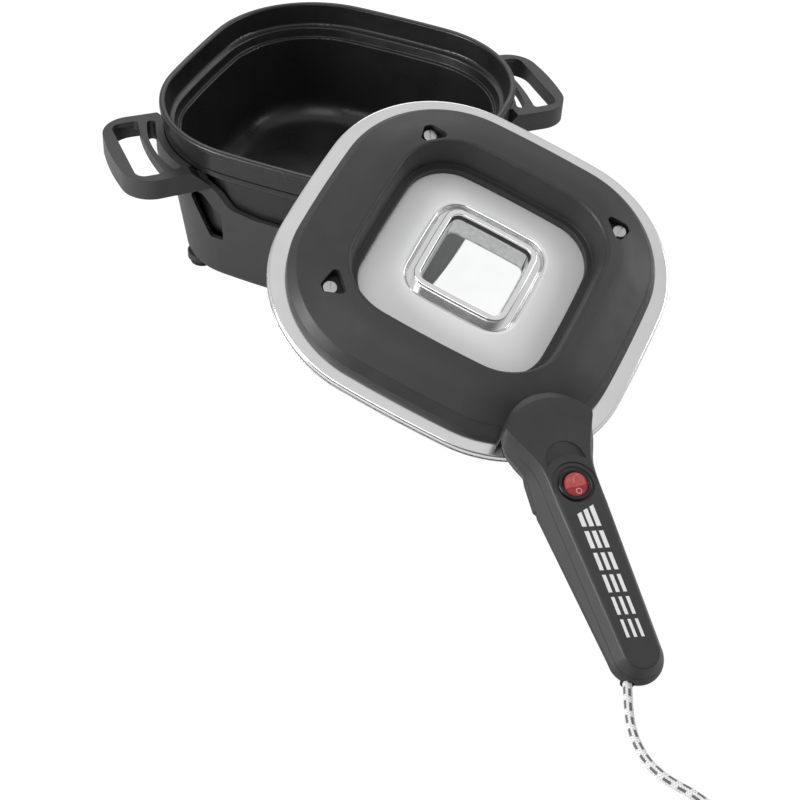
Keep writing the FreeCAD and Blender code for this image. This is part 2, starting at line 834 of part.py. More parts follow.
def cover_posts():
    """Threaded posts welded to the pressing, one under each cover screw."""
    posts = []
    for turn, spot, _ in cover_screws_at:
        post = cylinder(post_radius, spot, 0, 0, pocket_floor - pocket_wall)
        post = cut(post, [cylinder(screw_radius, spot, 0, 2, 30)])
        post.rotate(V(0, 0, 0), UP, turn)
        posts.append(post)
    return posts


def cover_screws():
    screws = []
    for turn, spot, slot_turn in cover_screws_at:
        head = cylinder(screw_head_radius, 0, 0, pocket_floor, pocket_floor + screw_head_height)
        head = head.makeFillet(0.8, [head.Edges[0]])
        shank = cylinder(screw_radius, 0, 0, 4.0, pocket_floor + 0.1)
        slot = box(-8, 8, -slot_cut / 2, slot_cut / 2, pocket_floor + screw_head_height - 1.2, 40)
        slot.rotate(V(0, 0, 0), UP, slot_turn)
        screw = cut(fuse([head, shank]), [slot])
        screw.translate(V(spot, 0, 0))
        screw.rotate(V(0, 0, 0), UP, turn)
        screws.append(screw)
    return screws


def handle_low_at(x):
    share = min((x - handle_front) / (grip_end - handle_front), 1)
    return handle_low + (handle_low_end - handle_low) * share


def grip_at(x):
    """Half widths, height and rounding at any place, on smooth curves through the stations."""
    rows = grip_stations
    if x >= grip_end:
        return rows[-1][1:]
    last = len(rows) - 1
    i = max(k for k in range(last) if rows[k][0] <= x)
    near, far = rows[i], rows[i + 1]
    before, after = rows[max(i - 1, 0)], rows[min(i + 2, last)]
    span = far[0] - near[0]
    share = (x - near[0]) / span
    values = []
    for k in range(1, 5):
        slope = (far[k] - before[k]) / (far[0] - before[0]) * span
        slope_after = (after[k] - near[k]) / (after[0] - near[0]) * span
        bend = far[k] - near[k]
        values.append(near[k] + slope * share + (3 * bend - 2 * slope - slope_after) * share ** 2
                      + (slope + slope_after - 2 * bend) * share ** 3)
    return values


def grip_corners(x, inset):
    """Corners of one half of the grip's section, from the crest down."""
    top_half, wide_half, wide_height, rounding = grip_at(x)
    less = 0.6 * inset
    low = handle_low_at(x) + inset
    return [
        (top_half - inset * 0.7, crest - inset, max(rounding - less, 0.5)),
        (wide_half - inset, wide_height, 4.0 - less), (wide_half - low_share - inset, low, 5.0 - less),
    ]


def grip_section(x, inset):
    corners = grip_corners(x, inset)
    chain = with_chords([(0, corners[0][1])] + corners + [(0, corners[-1][1])], 3)[1:-1]
    points = [V(x, u, v) for u, v in mirrored(chain, (-1, 1))]
    return Part.makePolygon(points + points[:1])


def grip_round_end(inset):
    """The section's half turn round the middle of the grip's end."""
    corners = grip_corners(grip_end, inset - end_over)
    chain = with_chords([(0, corners[0][1])] + corners + [(0, corners[-1][1])], 3)
    points = [V(grip_end + u, 0, v) for u, v in chain]
    face = Part.Face(Part.makePolygon(points + points[:1]))
    face.rotate(V(grip_end, 0, 0), UP, -90)
    turned = face.revolve(V(grip_end, 0, 0), UP, 180)
    ahead = [grip_section(x, inset) for x in (grip_end, grip_end + 40)]
    return turned.common(Part.makeLoft(ahead, True, True))


def grip_body(start, inset):
    """Smooth neck, straight grip and round end through the grip's sections."""
    count = round((neck_end - start) / neck_step)
    places = [start + (neck_end - start) * k / count for k in range(count + 1)]
    neck = Part.makeLoft([grip_section(x, inset) for x in places], True, False)
    straight = Part.makeLoft([grip_section(x, inset) for x in (neck_end, grip_end)], True, True)
    return neck.multiFuse([straight, grip_round_end(inset)])


def head_wire(front, radius, height):
    """Outline of the head's front: a wide arc and two small round corners at the neck."""
    centre = front + radius
    half = grip_stations[0][1]
    turn = atan2(sqrt((head_radius - head_corner) ** 2 - (half - head_corner) ** 2), half - head_corner)
    join_x = head_front + head_radius - head_radius * sin(turn)
    join_y = min(sqrt(radius ** 2 - (centre - join_x) ** 2), head_radius * cos(turn))
    ends = [V(neck_start, -half, height), V(join_x, -join_y, height)]
    middle = (ends[0] + ends[1]) * 0.5 + V(-0.1, -0.15, 0)
    other = [V(p.x, -p.y, height) for p in (ends[1], middle, ends[0])]
    return wire([
        arc(ends[0], middle, ends[1]), arc(ends[1], V(front, 0, height), other[0]), arc(*other),
        line(other[2], ends[0]),
    ])


def head_front_body():
    """The head on the cover, with a bevel that is widest in front."""
    edge = crest - bevel_height
    low = Part.Face(head_wire(head_front, head_radius, 0)).extrude(V(0, 0, edge))
    wires = [head_wire(head_front, head_radius, edge), head_wire(bevel_front, bevel_radius, crest)]
    return low.fuse(Part.makeLoft(wires, True, True))


def heel(inset):
    """Wider flanks of the lower shell beside the lid, ending in a small step."""
    sections = []
    for x, half in heel_stations:
        low = handle_low_at(x) + inset
        corners = mirrored([
            (half - 3.8 - inset, heel_top - inset), (half - inset, heel_wide, 2.5 - 0.6 * inset),
            (half - low_share - inset, low, 4.0 - 0.6 * inset),
        ], (-1, 1))
        sections.append(rounded_wire(corners, lambda u, v, x=x: V(x, u, v)))
    if inset > 0:
        sections = sections[:-1]
    return Part.makeLoft(sections, True, True)


def outlet_axis(pitch):
    """Way the cord leaves: level when the lid leans, and turned a little to the left."""
    p, turn = radians(pitch), radians(outlet_turn)
    return V(cos(p) * cos(turn), -sin(turn), sin(p) * cos(turn))


outlet_mouth = V(outlet_place, outlet_side, outlet_height)


def handle_inside():
    return grip_body(handle_front + handle_wall, handle_wall)


def handle_bosses(low, high):
    return [cylinder(handle_boss_radius, x, y, low, high) for x, y in handle_screws_at]


def outlet_bore(pitch):
    axis = outlet_axis(pitch)
    return Part.makeCylinder(cord_radius + outlet_ring, 60, outlet_mouth - axis * 22, axis)


def bar_corners():
    """Four corners of each white bar; the first row's upper ends slant the other way."""
    bars = []
    for row in range(bar_rows):
        width = bar_width + (bar_width_end - bar_width) * row / (bar_rows - 1)
        middle = bar_first + row * bar_pitch
        near_slant = -first_row_slant if row == 0 else bar_slant
        for column in (-1, 0, 1):
            corners = []
            for end, side, slant in ((-1, -1, near_slant), (-1, 1, near_slant), (1, 1, bar_slant),
                                     (1, -1, bar_slant)):
                y = column * bar_step + side * width / 2
                corners.append((middle + end * bar_length / 2 + slant * y, bar_middle + y))
            bars.append(corners)
    return bars


def handle_stripes():
    return [level_prism(corners, crest - bar_thick, crest + bar_proud) for corners in bar_corners()]


def thumb_hollow():
    """Crescent for the thumb: its floor slopes down to an upright edge round the switch."""
    disc = cylinder(thumb_radius, 0, 0, 0, 20)
    disc.rotate(V(0, 0, 0), V(0, 1, 0), thumb_slope)
    edge = switch_spot - thumb_edge
    drop = (edge - thumb_spot) * tan(radians(thumb_slope))
    disc.translate(V(thumb_spot, 0, crest - thumb_depth + drop))
    return disc.cut(cylinder(thumb_edge, switch_spot, 0, 0, 60))


def handle_upper():
    """Upper shell: the head on the cover, the neck and the grip's upper part."""
    grip = grip_body(neck_start, 0)
    body = fuse([grip, head_front_body()])
    pad = cylinder(thumb_edge + 12, switch_spot - 4, 0, crest - roof_pad, 60)
    inside = handle_inside().cut(pad)
    front = box(100, switch_spot + 3, -40, 40, 0, 60)
    step = cylinder(step_radius, switch_spot, 0, crest - step_depth, 60).common(front)
    dish = cylinder(dish_radius, switch_spot, 0, crest - dish_depth, 60)
    mouth = cylinder(can_radius + 0.1, switch_spot, 0, 0, 60)
    below_seam = box(handle_front, 400, -60, 60, -60, handle_seam + seam_gap)
    over_flange = box(60, handle_front, -60, 60, -60, 0.6)
    bars = [level_prism(corners, crest - bar_thick, 40) for corners in bar_corners()]
    channel = box(108, handle_front + handle_wall + 1, -15.5, 15.5, -10, 16)
    hollow_start = neck_start + 4
    head_hollow = level_prism(mirrored([
        (hollow_start, 24.0), (handle_front, 20.0), (handle_front + 8, 15.0),
    ]), -1, crest - roof_pad)
    tools = [inside, cover_envelope(), thumb_hollow(), step, dish, mouth, below_seam, over_flange]
    body = cut_in_turn(body, tools + [channel, head_hollow] + bars)
    bosses = [b.common(grip) for b in handle_bosses(handle_seam + seam_gap, crest - 1.5)]
    body = fuse([body] + bosses)
    holes = []
    for x, y in handle_screws_at:
        holes.append(cylinder(handle_screw_radius, x, y, 0, handle_seam + boss_rise))
    return cut_in_turn(body, holes + [mouth])


def handle_lower(pitch):
    """Lower shell, open towards the lid for the bracket and the wires."""
    body = grip_body(neck_start, 0).common(box(handle_front, 400, -60, 60, -60, handle_seam))
    body = fuse([body, heel(0)])
    gate = box(handle_front - 1, handle_front + handle_wall + 4, -15.5, 15.5, -2, 40)
    body = cut_in_turn(body, [handle_inside(), heel(handle_wall), gate])
    bosses = []
    for x, y in handle_screws_at:
        bosses.append(cylinder(handle_boss_radius, x, y, handle_low_at(x) + 1, handle_seam))
    body = fuse([body] + bosses)
    holes = []
    for x, y in handle_screws_at:
        holes.append(cylinder(handle_screw_radius + 0.2, x, y, -30, 30))
        holes.append(cylinder(3.2, x, y, -30, handle_low_at(x) + 4))
    return cut_in_turn(body, holes + [outlet_bore(pitch)])


def handle_screws():
    screws = []
    for x, y in handle_screws_at:
        seat = handle_low_at(x) + 4
        head = cylinder(3.0, x, y, seat - 2.0, seat)
        shank = cylinder(handle_screw_radius, x, y, seat - 0.1, handle_seam + boss_rise - 1)
        cross = [box(x - 1.8, x + 1.8, y - 0.4, y + 0.4, seat - 5, seat - 1)]
        cross.append(box(x - 0.4, x + 0.4, y - 1.8, y + 1.8, seat - 5, seat - 1))
        screws.append(cut(fuse([head, shank]), cross))
    return screws


def handle_bracket():
    """Steel strap from under the cover, over the flange, into the handle."""
    strap = box(bracket_start, bracket_end, -bracket_width / 2, bracket_width / 2, 0, bracket_sheet)
    holes = [cylinder(bracket_screw_radius, bracket_screw_at, 0, -5, 10)]
    holes += [cylinder(element_radius + 1.5, x, y, -5, 20) for x, y in element_legs()]
    return cut(strap, holes)


def bracket_screw():
    x = bracket_screw_at
    head = cylinder(3.6, x, 0, bracket_sheet, bracket_sheet + 2.2)
    shank = cylinder(bracket_screw_radius, x, 0, -sheet, bracket_sheet + 0.1)
    slot = box(x - 5, x + 5, -0.5, 0.5, bracket_sheet + 1.3, 20)
    return cut(fuse([head, shank]), [slot])


bezel_top = crest - dish_depth + bezel_height
pivot_level = bezel_top - rocker_pivot


def switch_body():
    """Round snap-in switch housing with its bezel."""
    seat = crest - dish_depth
    profile = upright_face([
        (rocker_ball + 0.25, bezel_top - 0.3, 0.3), (bezel_radius, bezel_top, 0.9), (bezel_radius, seat),
        (can_radius, seat), (can_radius, seat - can_depth), (0, seat - can_depth),
        (0, seat - can_depth + 1.5), (can_radius - can_wall, seat - can_depth + 1.5),
        (can_radius - can_wall, bezel_top - 7), (rocker_ball + 0.25, bezel_top - 7),
    ])
    body = profile.revolve(V(0, 0, 0), UP, 360)
    body.translate(V(switch_spot, 0, 0))
    reach = can_radius + 0.05
    return cut(body, [rocker_axle(rocker_pin + 0.25, reach)])


def rocker_axle(radius, reach):
    return Part.makeCylinder(radius, 2 * reach, V(switch_spot, -reach, pivot_level), V(0, 1, 0))


def switch_rocker():
    """Round rocker with two facets, its side towards the handle's tip pressed in."""
    pivot = V(switch_spot, 0, pivot_level)
    disc = cylinder(rocker_radius, switch_spot, 0, pivot_level - 3.2, pivot_level + 8)
    ball = Part.makeSphere(rocker_ball, pivot)
    rocker = disc.common(ball)
    facets = []
    rise = 2.2
    for side in (-1, 1):
        tool = box(0, 40, -20, 20, 0, 30)
        if side < 0:
            tool = box(-40, 0, -20, 20, 0, 30)
        tool.rotate(V(0, 0, 0), V(0, 1, 0), -side * rocker_facet)
        tool.translate(pivot + V(rocker_ridge, 0, rise))
        facets.append(tool)
    rocker = cut(rocker, facets).fuse(rocker_axle(rocker_pin, rocker_pin_end))
    rocker.rotate(pivot, V(0, 1, 0), rocker_tilt)
    return rocker


def switch_lamp():
    low = crest - dish_depth - can_depth + 1.5
    glass = cylinder(lamp_radius, switch_spot, 0, low, low + lamp_length - lamp_radius)
    tip = Part.makeSphere(lamp_radius, V(switch_spot, 0, low + lamp_length - lamp_radius))
    return fuse([glass, tip])


def switch_blades():
    blades = []
    top = crest - dish_depth - can_depth
    for step in (-5.5, 0, 5.5):
        x = switch_spot + step
        blades.append(box(x - blade_thick / 2, x + blade_thick / 2, -blade_width / 2, blade_width / 2,
                          top - blade_length, top))
    return blades


block_low = handle_low_at(block_start + block_length / 2) + handle_wall + 1.0


def terminal_block():
    body = box(block_start, block_start + block_length, -block_half, block_half,
               block_low, block_low + block_height)
    holes = []
    for side in (-1, 0, 1):
        y = side * 5.2
        start = V(block_start - 1, y, block_low + 4)
        holes.append(Part.makeCylinder(1.5, block_length + 2, start, V(1, 0, 0)))
        for x in (block_start + 6, block_start + block_length - 6):
            holes.append(cylinder(1.7, x, y, block_low + 5.5, 60))
    return cut(body, holes)


def terminal_screws():
    screws = []
    for side in (-1, 0, 1):
        for x in (block_start + 6, block_start + block_length - 6):
            y = side * 5.2
            screw = cylinder(1.7, x, y, block_low + 5.5, block_low + 9.5)
            slot = box(x - 2, x + 2, y - 0.3, y + 0.3, block_low + 8.7, 60)
            screws.append(cut(screw, [slot]))
    return screws


def bent_path(points):
    """Straight runs joined by tangent arcs, each as large as 0.45 of its shorter run allows."""
    edges = []
    radii = []
    start = points[0]
    for i in range(1, len(points) - 1):
        corner = points[i]
        back = points[i - 1] - corner
        ahead = points[i + 1] - corner
        reach = 0.45 * min(back.Length, ahead.Length)
        angle = back.getAngle(ahead)
        radius = reach * tan(angle / 2)
        radii.append(radius)
        a = corner + back.normalize() * reach
        b = corner + ahead.normalize() * reach
        half = angle / 2
        middle = corner + (back + ahead).normalize() * (radius / sin(half) - radius)
        edges.append(line(start, a))
        edges.append(arc(a, middle, b))
        start = b
    edges.append(line(start, points[-1]))
    return wire(edges), radii


def tube(points, radius):
    path, radii = bent_path(points)
    first = (points[1] - points[0]).normalize()
    circle = wire([Part.Circle(points[0], first, radius).toShape()])
    return path.makePipeShell([circle], True, False), path.Length, radii


def inner_wires():
    """Live, neutral, earth and switched leads between terminal block, switch and lid."""
    level = block_low + 4
    blade_low = crest - dish_depth - can_depth - blade_length
    leg_x, leg_y = element_legs()[0]
    tab = element_leg_top + 1.0
    face = 0.4 + wire_radius
    routes = {
        "wire_live": [
            V(block_start + 3, 0, level), V(block_start - 9, 0, level),
            V(switch_spot + 19, 0, blade_low + 3), V(switch_spot + 5.5 + face, 0, blade_low + 3),
        ],
        "wire_neutral": [
            V(block_start + 3, -5.2, level), V(block_start - 14, -6.2, level),
            V(switch_spot + 14, -12.5, 5.2), V(handle_front + 9, -12.0, 6.0),
            V(leg_x + 19, -12.5, 6.5), V(leg_x + 10, -leg_y, tab), V(leg_x + 3.25, -leg_y, tab),
        ],
        "wire_earth": [
            V(block_start + 3, 5.2, level), V(block_start - 12, 6.2, level),
            V(switch_spot + 16, 13.0, 4.0), V(handle_front + 12, 10.0, bracket_sheet + 1.4),
            V(handle_front - 4, 8.0, bracket_sheet + wire_radius),
            V(bracket_screw_at + 3.7, 0.6, bracket_sheet + wire_radius),
        ],
        "wire_load": [
            V(switch_spot - 5.5 - face, 0, blade_low + 5), V(switch_spot - 13, 3.0, blade_low + 4),
            V(handle_front + 6, 11.5, 7.0), V(leg_x + 19, 12.5, 6.8),
            V(leg_x + 10, leg_y, tab), V(leg_x + 3.25, leg_y, tab),
        ],
    }
    return {name: tube(points, wire_radius)[0] for name, points in routes.items()}


def cord_clamp():
    """Bar on two posts that holds the cord down inside the handle."""
    low = handle_low_at(clamp_spot) + handle_wall + 0.5
    near = clamp_spot - clamp_length / 2
    seat = clamp_level + cord_radius - 0.4
    bar = box(near, near + clamp_length, -11.2, 6.2, seat, clamp_level + cord_radius + 2.2)
    start = V(near - 1, clamp_side, clamp_level)
    groove = Part.makeCylinder(cord_radius, clamp_length + 2, start, V(1, 0, 0))
    posts = [box(clamp_spot - 3, clamp_spot + 3, y - 2.5, y + 2.5, low, seat) for y in clamp_posts]
    return cut(fuse([bar] + posts), [groove])


def clamp_screws():
    screws = []
    base = clamp_level + cord_radius + 2.2
    for y in clamp_posts:
        head = cylinder(2.4, clamp_spot, y, base, base + 1.6)
        slot = box(clamp_spot - 3, clamp_spot + 3, y - 0.35, y + 0.35, base + 0.9, base + 5)
        screws.append(cut(head, [slot]))
    return screws


def cord_grommet(pitch):
    """Rubber ring round the cord in the handle's end."""
    axis = outlet_axis(pitch)
    outer = Part.makeCone(cord_radius + 0.7, cord_radius + outlet_ring, 8, outlet_mouth - axis * 8, axis)
    return cut(outer, [Part.makeCylinder(cord_radius, 60, outlet_mouth - axis * 30, axis)])


def cord_inner(pitch):
    """The cord inside the handle, from its cut end at the terminal block to the outlet."""
    axis = outlet_axis(pitch)
    points = [
        V(block_start + block_length + 5, clamp_side, clamp_level),
        V(clamp_spot + 5, clamp_side, clamp_level), outlet_mouth - axis * 16, outlet_mouth,
    ]
    return tube(points, cord_radius)[0]


def tip_rounding():
    """Middle and radius of the rounding at the tip's lower edge, in the XZ plane."""
    _, side, low = grip_corners(grip_end, -end_over)
    corner = V(low[0], 0, low[1])
    up = (V(side[0], 0, side[1]) - corner).normalize()
    inwards = V(-1, 0, 0)
    half = up.getAngle(inwards) / 2
    middle = corner + (up + inwards).normalize() * (low[2] / sin(half))
    return grip_end + middle.x, middle.z, low[2]


def lean():
    """Pitch and height at which the handle's tip is on the table and the pan on the bowl's rim."""
    heading = radians(lid_heading + 90)
    back = (lid_forward - rim.corner_reach) / cos(heading)
    tip_x, tip_z, tip_radius = tip_rounding()
    low, high = 5.0, 45.0
    for _ in range(60):
        pitch = (low + high) / 2
        p = radians(pitch)
        height = tip_x * sin(p) - tip_z * cos(p) + tip_radius
        over = (rim_height - height) * cos(p) - back * sin(p) + pan_depth + lean_gap
        if over > 0:
            low = pitch
        else:
            high = pitch
    return pitch, height


def lid_placement(pitch, height):
    turn = FreeCAD.Rotation(UP, lid_heading).multiply(FreeCAD.Rotation(V(0, 1, 0), pitch))
    return FreeCAD.Placement(V(lid_side, -lid_forward, height), turn)


# Route of the cord on the table; it starts at the handle's outlet.
cord_route = [
    (-15.5, -559.0, 3.3), (-19.3, -575.5, 3.2), (-19.3, -590.5, 3.2), (-14.7, -604.8, 3.2),
    (-3.2, -621.2, 3.2), (4.3, -641.9, 3.2), (5.1, -663.9, 3.2),
]
coil_centre = V(42.0, -718.0, 0)
plug_back = V(96.0, -660.0, plug_radius)


def arc_middle(start, corner, end):
    """Middle of the arc that touches start-corner and corner-end, both the same length."""
    back = start - corner
    ahead = end - corner
    half = back.getAngle(ahead) / 2
    radius = back.Length * tan(half)
    return corner + (back.normalize() + ahead.normalize()).normalize() * (radius / sin(half) - radius)


def coil_point(turns):
    """Middle line of the coil: spirals in on the table, climbs, and spirals out on top."""
    half = coil_turns / 2
    climb = 0.25
    inner = coil_middle - coil_pitch * (half - 0.5) / 2
    away = abs(turns - half)
    radius = inner + coil_pitch * max(away - climb, 0)
    level = cord_radius
    if turns > half - climb:
        share = min((turns - half + climb) / (2 * climb), 1)
        level += coil_layer * (share - sin(2 * pi * share) / (2 * pi))
    angle = radians(coil_start_angle) + 2 * pi * turns
    return coil_centre + V(radius * cos(angle), radius * sin(angle), level)


def coil_tangent(turns):
    step = 0.001
    return (coil_point(turns + step) - coil_point(turns - step)).normalize()


def biarc(a, ta, b, tb):
    """Two arcs from a to b that leave and arrive along the given ways."""
    span = b - a
    both = ta + tb
    spread = 2 * (1 - ta.dot(tb))
    reach = (-span.dot(both) + sqrt(span.dot(both) ** 2 + spread * span.dot(span))) / spread
    near = a + ta * reach
    far = b - tb * reach
    joint = (near + far) * 0.5
    return [arc(a, arc_middle(a, near, joint), joint), arc(joint, arc_middle(joint, far, b), b)]


def cord_coil():
    """One unbroken tube of round turns, its two ends straight for one diameter."""
    quarters = int(coil_turns * 4)
    stations = [i / 4 for i in range(quarters + 1)]
    edges = []
    start = coil_point(stations[0])
    way = coil_tangent(stations[0])
    lead = 2 * cord_radius
    edges.append(line(start - way * lead, start))
    for here, there in zip(stations, stations[1:]):
        edges += biarc(coil_point(here), coil_tangent(here), coil_point(there), coil_tangent(there))
    end = coil_point(stations[-1])
    out = coil_tangent(stations[-1])
    edges.append(line(end, end + out * lead))
    path = wire(edges)
    circle = wire([Part.Circle(start - way * lead, way, cord_radius).toShape()])
    solid = path.makePipeShell([circle], True, False)
    print("coil length %.1f, volume %.1f, section by length %.1f" % (
        path.Length, solid.Volume, pi * cord_radius ** 2 * path.Length))
    print("coil least gap %.2f" % coil_gap(stations[-1]))
    return solid, start - way * lead, end + out * lead, out


def coil_gap(turns):
    """Least distance between neighbouring turns, less one diameter, on points of the middle line."""
    count = 60
    points = [coil_point(i / count) for i in range(int(turns * count) + 1)]
    least = 1e9
    for i, a in enumerate(points):
        for b in points[i + count // 2:]:
            least = min(least, a.distanceToPoint(b))
    return least - 2 * cord_radius


def plug(back, way):
    """Round mains plug lying on the table, its cord entering at back."""
    side = V(-way.y, way.x, 0)
    profile = upright_face([
        (0, 0), (plug_nose_radius, 0, 1.5), (plug_nose_radius + 1.5, 16.0, 6.0),
        (plug_radius - 2.0, 24.0, 3.0), (plug_radius - 1.2, plug_body - 3),
        (plug_radius, plug_body - 3), (plug_radius, plug_body + plug_face - 3, 1.0),
        (0, plug_body + plug_face - 3),
    ])
    body = profile.revolve(V(0, 0, 0), UP, 360)
    face = plug_body + plug_face - 3
    grooves = [box(-40, -plug_radius + 2.2, -2.5, 2.5, face - 14, face + 5),
               box(plug_radius - 2.2, 40, -2.5, 2.5, face - 14, face + 5)]
    body = cut(body, grooves)
    pins = []
    for step in (-pin_step, pin_step):
        pin = cylinder(pin_radius, 0, step, face, face + pin_length - pin_radius)
        pins.append(fuse([pin, Part.makeSphere(pin_radius, V(0, step, face + pin_length - pin_radius))]))
    strips = []
    for x0, x1 in ((-plug_radius + 1.0, -plug_radius + 2.2), (plug_radius - 2.2, plug_radius - 1.0)):
        strips.append(box(x0, x1, -2.3, 2.3, face - 13, face - 0.5))
    matrix = FreeCAD.Matrix(
        UP.x, side.x, way.x, back.x, UP.y, side.y, way.y, back.y, UP.z, side.z, way.z, back.z, 0, 0, 0, 1)
    for piece in [body] + pins + strips:
        piece.transformShape(matrix)
    return body, pins, strips


def cord_pieces(mouth, way):
    """The free cord, the coil, its tail and the plug."""
    coil, coil_in, coil_out, out_way = cord_coil()
    points = [mouth, mouth + way * 12.0] + [V(*p) for p in cord_route]
    in_way = coil_tangent(0)
    points += [coil_in - in_way * 26.0, coil_in]
    free, free_length, radii = tube(points, cord_radius)
    print("free cord length %.1f, volume %.1f, section by length %.1f" % (
        free_length, free.Volume, pi * cord_radius ** 2 * free_length))
    print("free cord radii", [round(r, 1) for r in radii])
    plug_way = V(0.35, 0.94, 0).normalize()
    tail_points = [coil_out, coil_out + out_way * 16.0]
    tail_points += [plug_back - plug_way * 16.0, plug_back]
    tail, tail_length, tail_radii = tube(tail_points, cord_radius)
    print("tail length %.1f, volume %.1f, section by length %.1f" % (
        tail_length, tail.Volume, pi * cord_radius ** 2 * tail_length))
    print("tail radii", [round(r, 1) for r in tail_radii])
    return free, coil, tail, plug(plug_back, plug_way)


def export(name, shapes, shift):
    solids = []
    for shape in shapes if isinstance(shapes, list) else [shapes]:
        solids += shape.Solids
    whole = solids[0] if len(solids) == 1 else Part.makeCompound(solids)
    whole.translate(shift)
    print("%-18s solids %2d valid %s volume %.0f" % (name, len(solids), whole.isValid(), whole.Volume))
    whole.exportStep("parts/%s.step" % name)


def lid_pieces(pitch):
    pieces = {
        "lid_shell": lid_shell(), "lid_pan": lid_pan(), "window_frame": window_frame(),
        "window_glass": window_glass(), "window_seal": window_seal(), "window_sleeve": window_sleeve(),
        "heating_element": heating_element(), "element_terminals": element_terminals(),
        "element_clips": element_clips(), "insulation_ring": wool_ring(), "thermostat": thermostat(),
        "thermal_fuse": thermal_fuse(), "cover_ring": cover_ring(), "cover_posts": cover_posts(),
        "cover_screws": cover_screws(), "handle_upper": handle_upper(),
        "handle_lower": handle_lower(pitch), "handle_screws": handle_screws(),
        "handle_stripes": handle_stripes(), "handle_bracket": handle_bracket(),
        "bracket_screw": bracket_screw(), "switch_body": switch_body(),
        "switch_rocker": switch_rocker(), "switch_lamp": switch_lamp(),
        "switch_blades": switch_blades(), "terminal_block": terminal_block(),
        "terminal_screws": terminal_screws(), "cord_clamp": cord_clamp(),
        "clamp_screws": clamp_screws(), "cord_grommet": cord_grommet(pitch),
        "cord_inner": cord_inner(pitch),
    }
    pieces.update(inner_wires())
    return pieces


def main():
    os.makedirs("parts", exist_ok=True)
    pitch, height = lean()
    leaning = lid_placement(pitch, height)
    nodes = {"bowl": bowl(), "stand": stand_solid(), "foot_screws": foot_screws()}
    for number, (x, y) in enumerate(foot_spots(), 1):
        nodes["foot_%d" % number] = foot(x, y)
    for name, shapes in lid_pieces(pitch).items():
        placed = []
        for shape in shapes if isinstance(shapes, list) else [shapes]:
            moved = shape.copy()
            moved.transformShape(leaning.toMatrix())
            placed.append(moved)
        nodes[name] = placed
    mouth = leaning.multVec(outlet_mouth)
    way = leaning.Rotation.multVec(outlet_axis(pitch))
    nodes["cord_free"], nodes["cord_coil"], nodes["cord_tail"], plug_pieces = cord_pieces(mouth, way)
    nodes["plug_body"], nodes["plug_pins"], nodes["plug_contacts"] = plug_pieces

    shells = nodes["handle_upper"] + nodes["handle_lower"]
    front = min(shell.optimalBoundingBox(False).YMin for shell in shells)
    shift = V(0, -(front + rim.corner_reach) / 2, 0)
    for name, shapes in nodes.items():
        export(name, shapes, shift)
    pivot = leaning.multVec(V(switch_spot, 0, pivot_level)) + shift
    axis = leaning.Rotation.multVec(V(0, -1, 0))
    print("lid pitch %.4f height %.4f shift %.4f" % (pitch, height, shift.y))
    print("rocker pivot", [round(c, 4) for c in pivot], "axis", [round(c, 6) for c in axis])
    print("mouth", [round(c, 4) for c in mouth + shift], "way", [round(c, 6) for c in way])


main()
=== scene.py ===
from math import cos, pi, radians, sin

import bpy
from mathutils import Matrix, Vector


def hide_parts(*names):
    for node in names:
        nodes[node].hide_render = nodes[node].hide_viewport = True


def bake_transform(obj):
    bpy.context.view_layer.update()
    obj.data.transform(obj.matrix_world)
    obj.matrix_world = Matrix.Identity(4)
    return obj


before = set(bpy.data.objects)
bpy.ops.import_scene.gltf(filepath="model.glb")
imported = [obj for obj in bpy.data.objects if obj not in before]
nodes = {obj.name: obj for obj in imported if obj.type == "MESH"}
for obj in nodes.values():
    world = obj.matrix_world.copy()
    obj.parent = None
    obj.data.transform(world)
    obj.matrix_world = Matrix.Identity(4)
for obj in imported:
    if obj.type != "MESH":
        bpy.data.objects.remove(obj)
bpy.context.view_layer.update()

MM = 0.001
UP = Vector((0, 0, 1))
axis_shift = 0.1956871       # the bowl's axis stands this far from the frame's origin, along Y


def from_bowl(x, y, z=0.0):
    """A point given in millimetres from the foot of the bowl's axis."""
    return Vector((x * MM, y * MM + axis_shift, z * MM))


def add_object(name, data):
    piece = bpy.data.objects.new(name, data)
    bpy.context.scene.collection.objects.link(piece)
    return piece


# Camera of the photograph

eye = Vector((-0.44628, -0.91567, 0.84477))
view_azimuth = radians(-24.967)
view_elevation = radians(40.674)
view_roll = radians(3.8)
view_lens = 76.5
view_sensor = 36.0
view_reach = 20


def camera():
    """A long lens at the photograph's angle, rolled a little."""
    flat = Vector((cos(view_azimuth), sin(view_azimuth), 0))
    level = Vector((-sin(view_azimuth), cos(view_azimuth), 0))
    ahead = level * cos(view_elevation) - UP * sin(view_elevation)
    above = flat.cross(ahead)
    right = flat * cos(view_roll) + above * sin(view_roll)
    top = above * cos(view_roll) - flat * sin(view_roll)
    data = bpy.data.cameras.new("camera")
    data.lens = view_lens
    data.sensor_width = view_sensor
    data.clip_end = view_reach
    piece = add_object("camera", data)
    turn = Matrix((right, top, -ahead)).transposed().to_4x4()
    piece.matrix_world = Matrix.Translation(eye) @ turn
    bpy.context.scene.camera = piece


# Cord

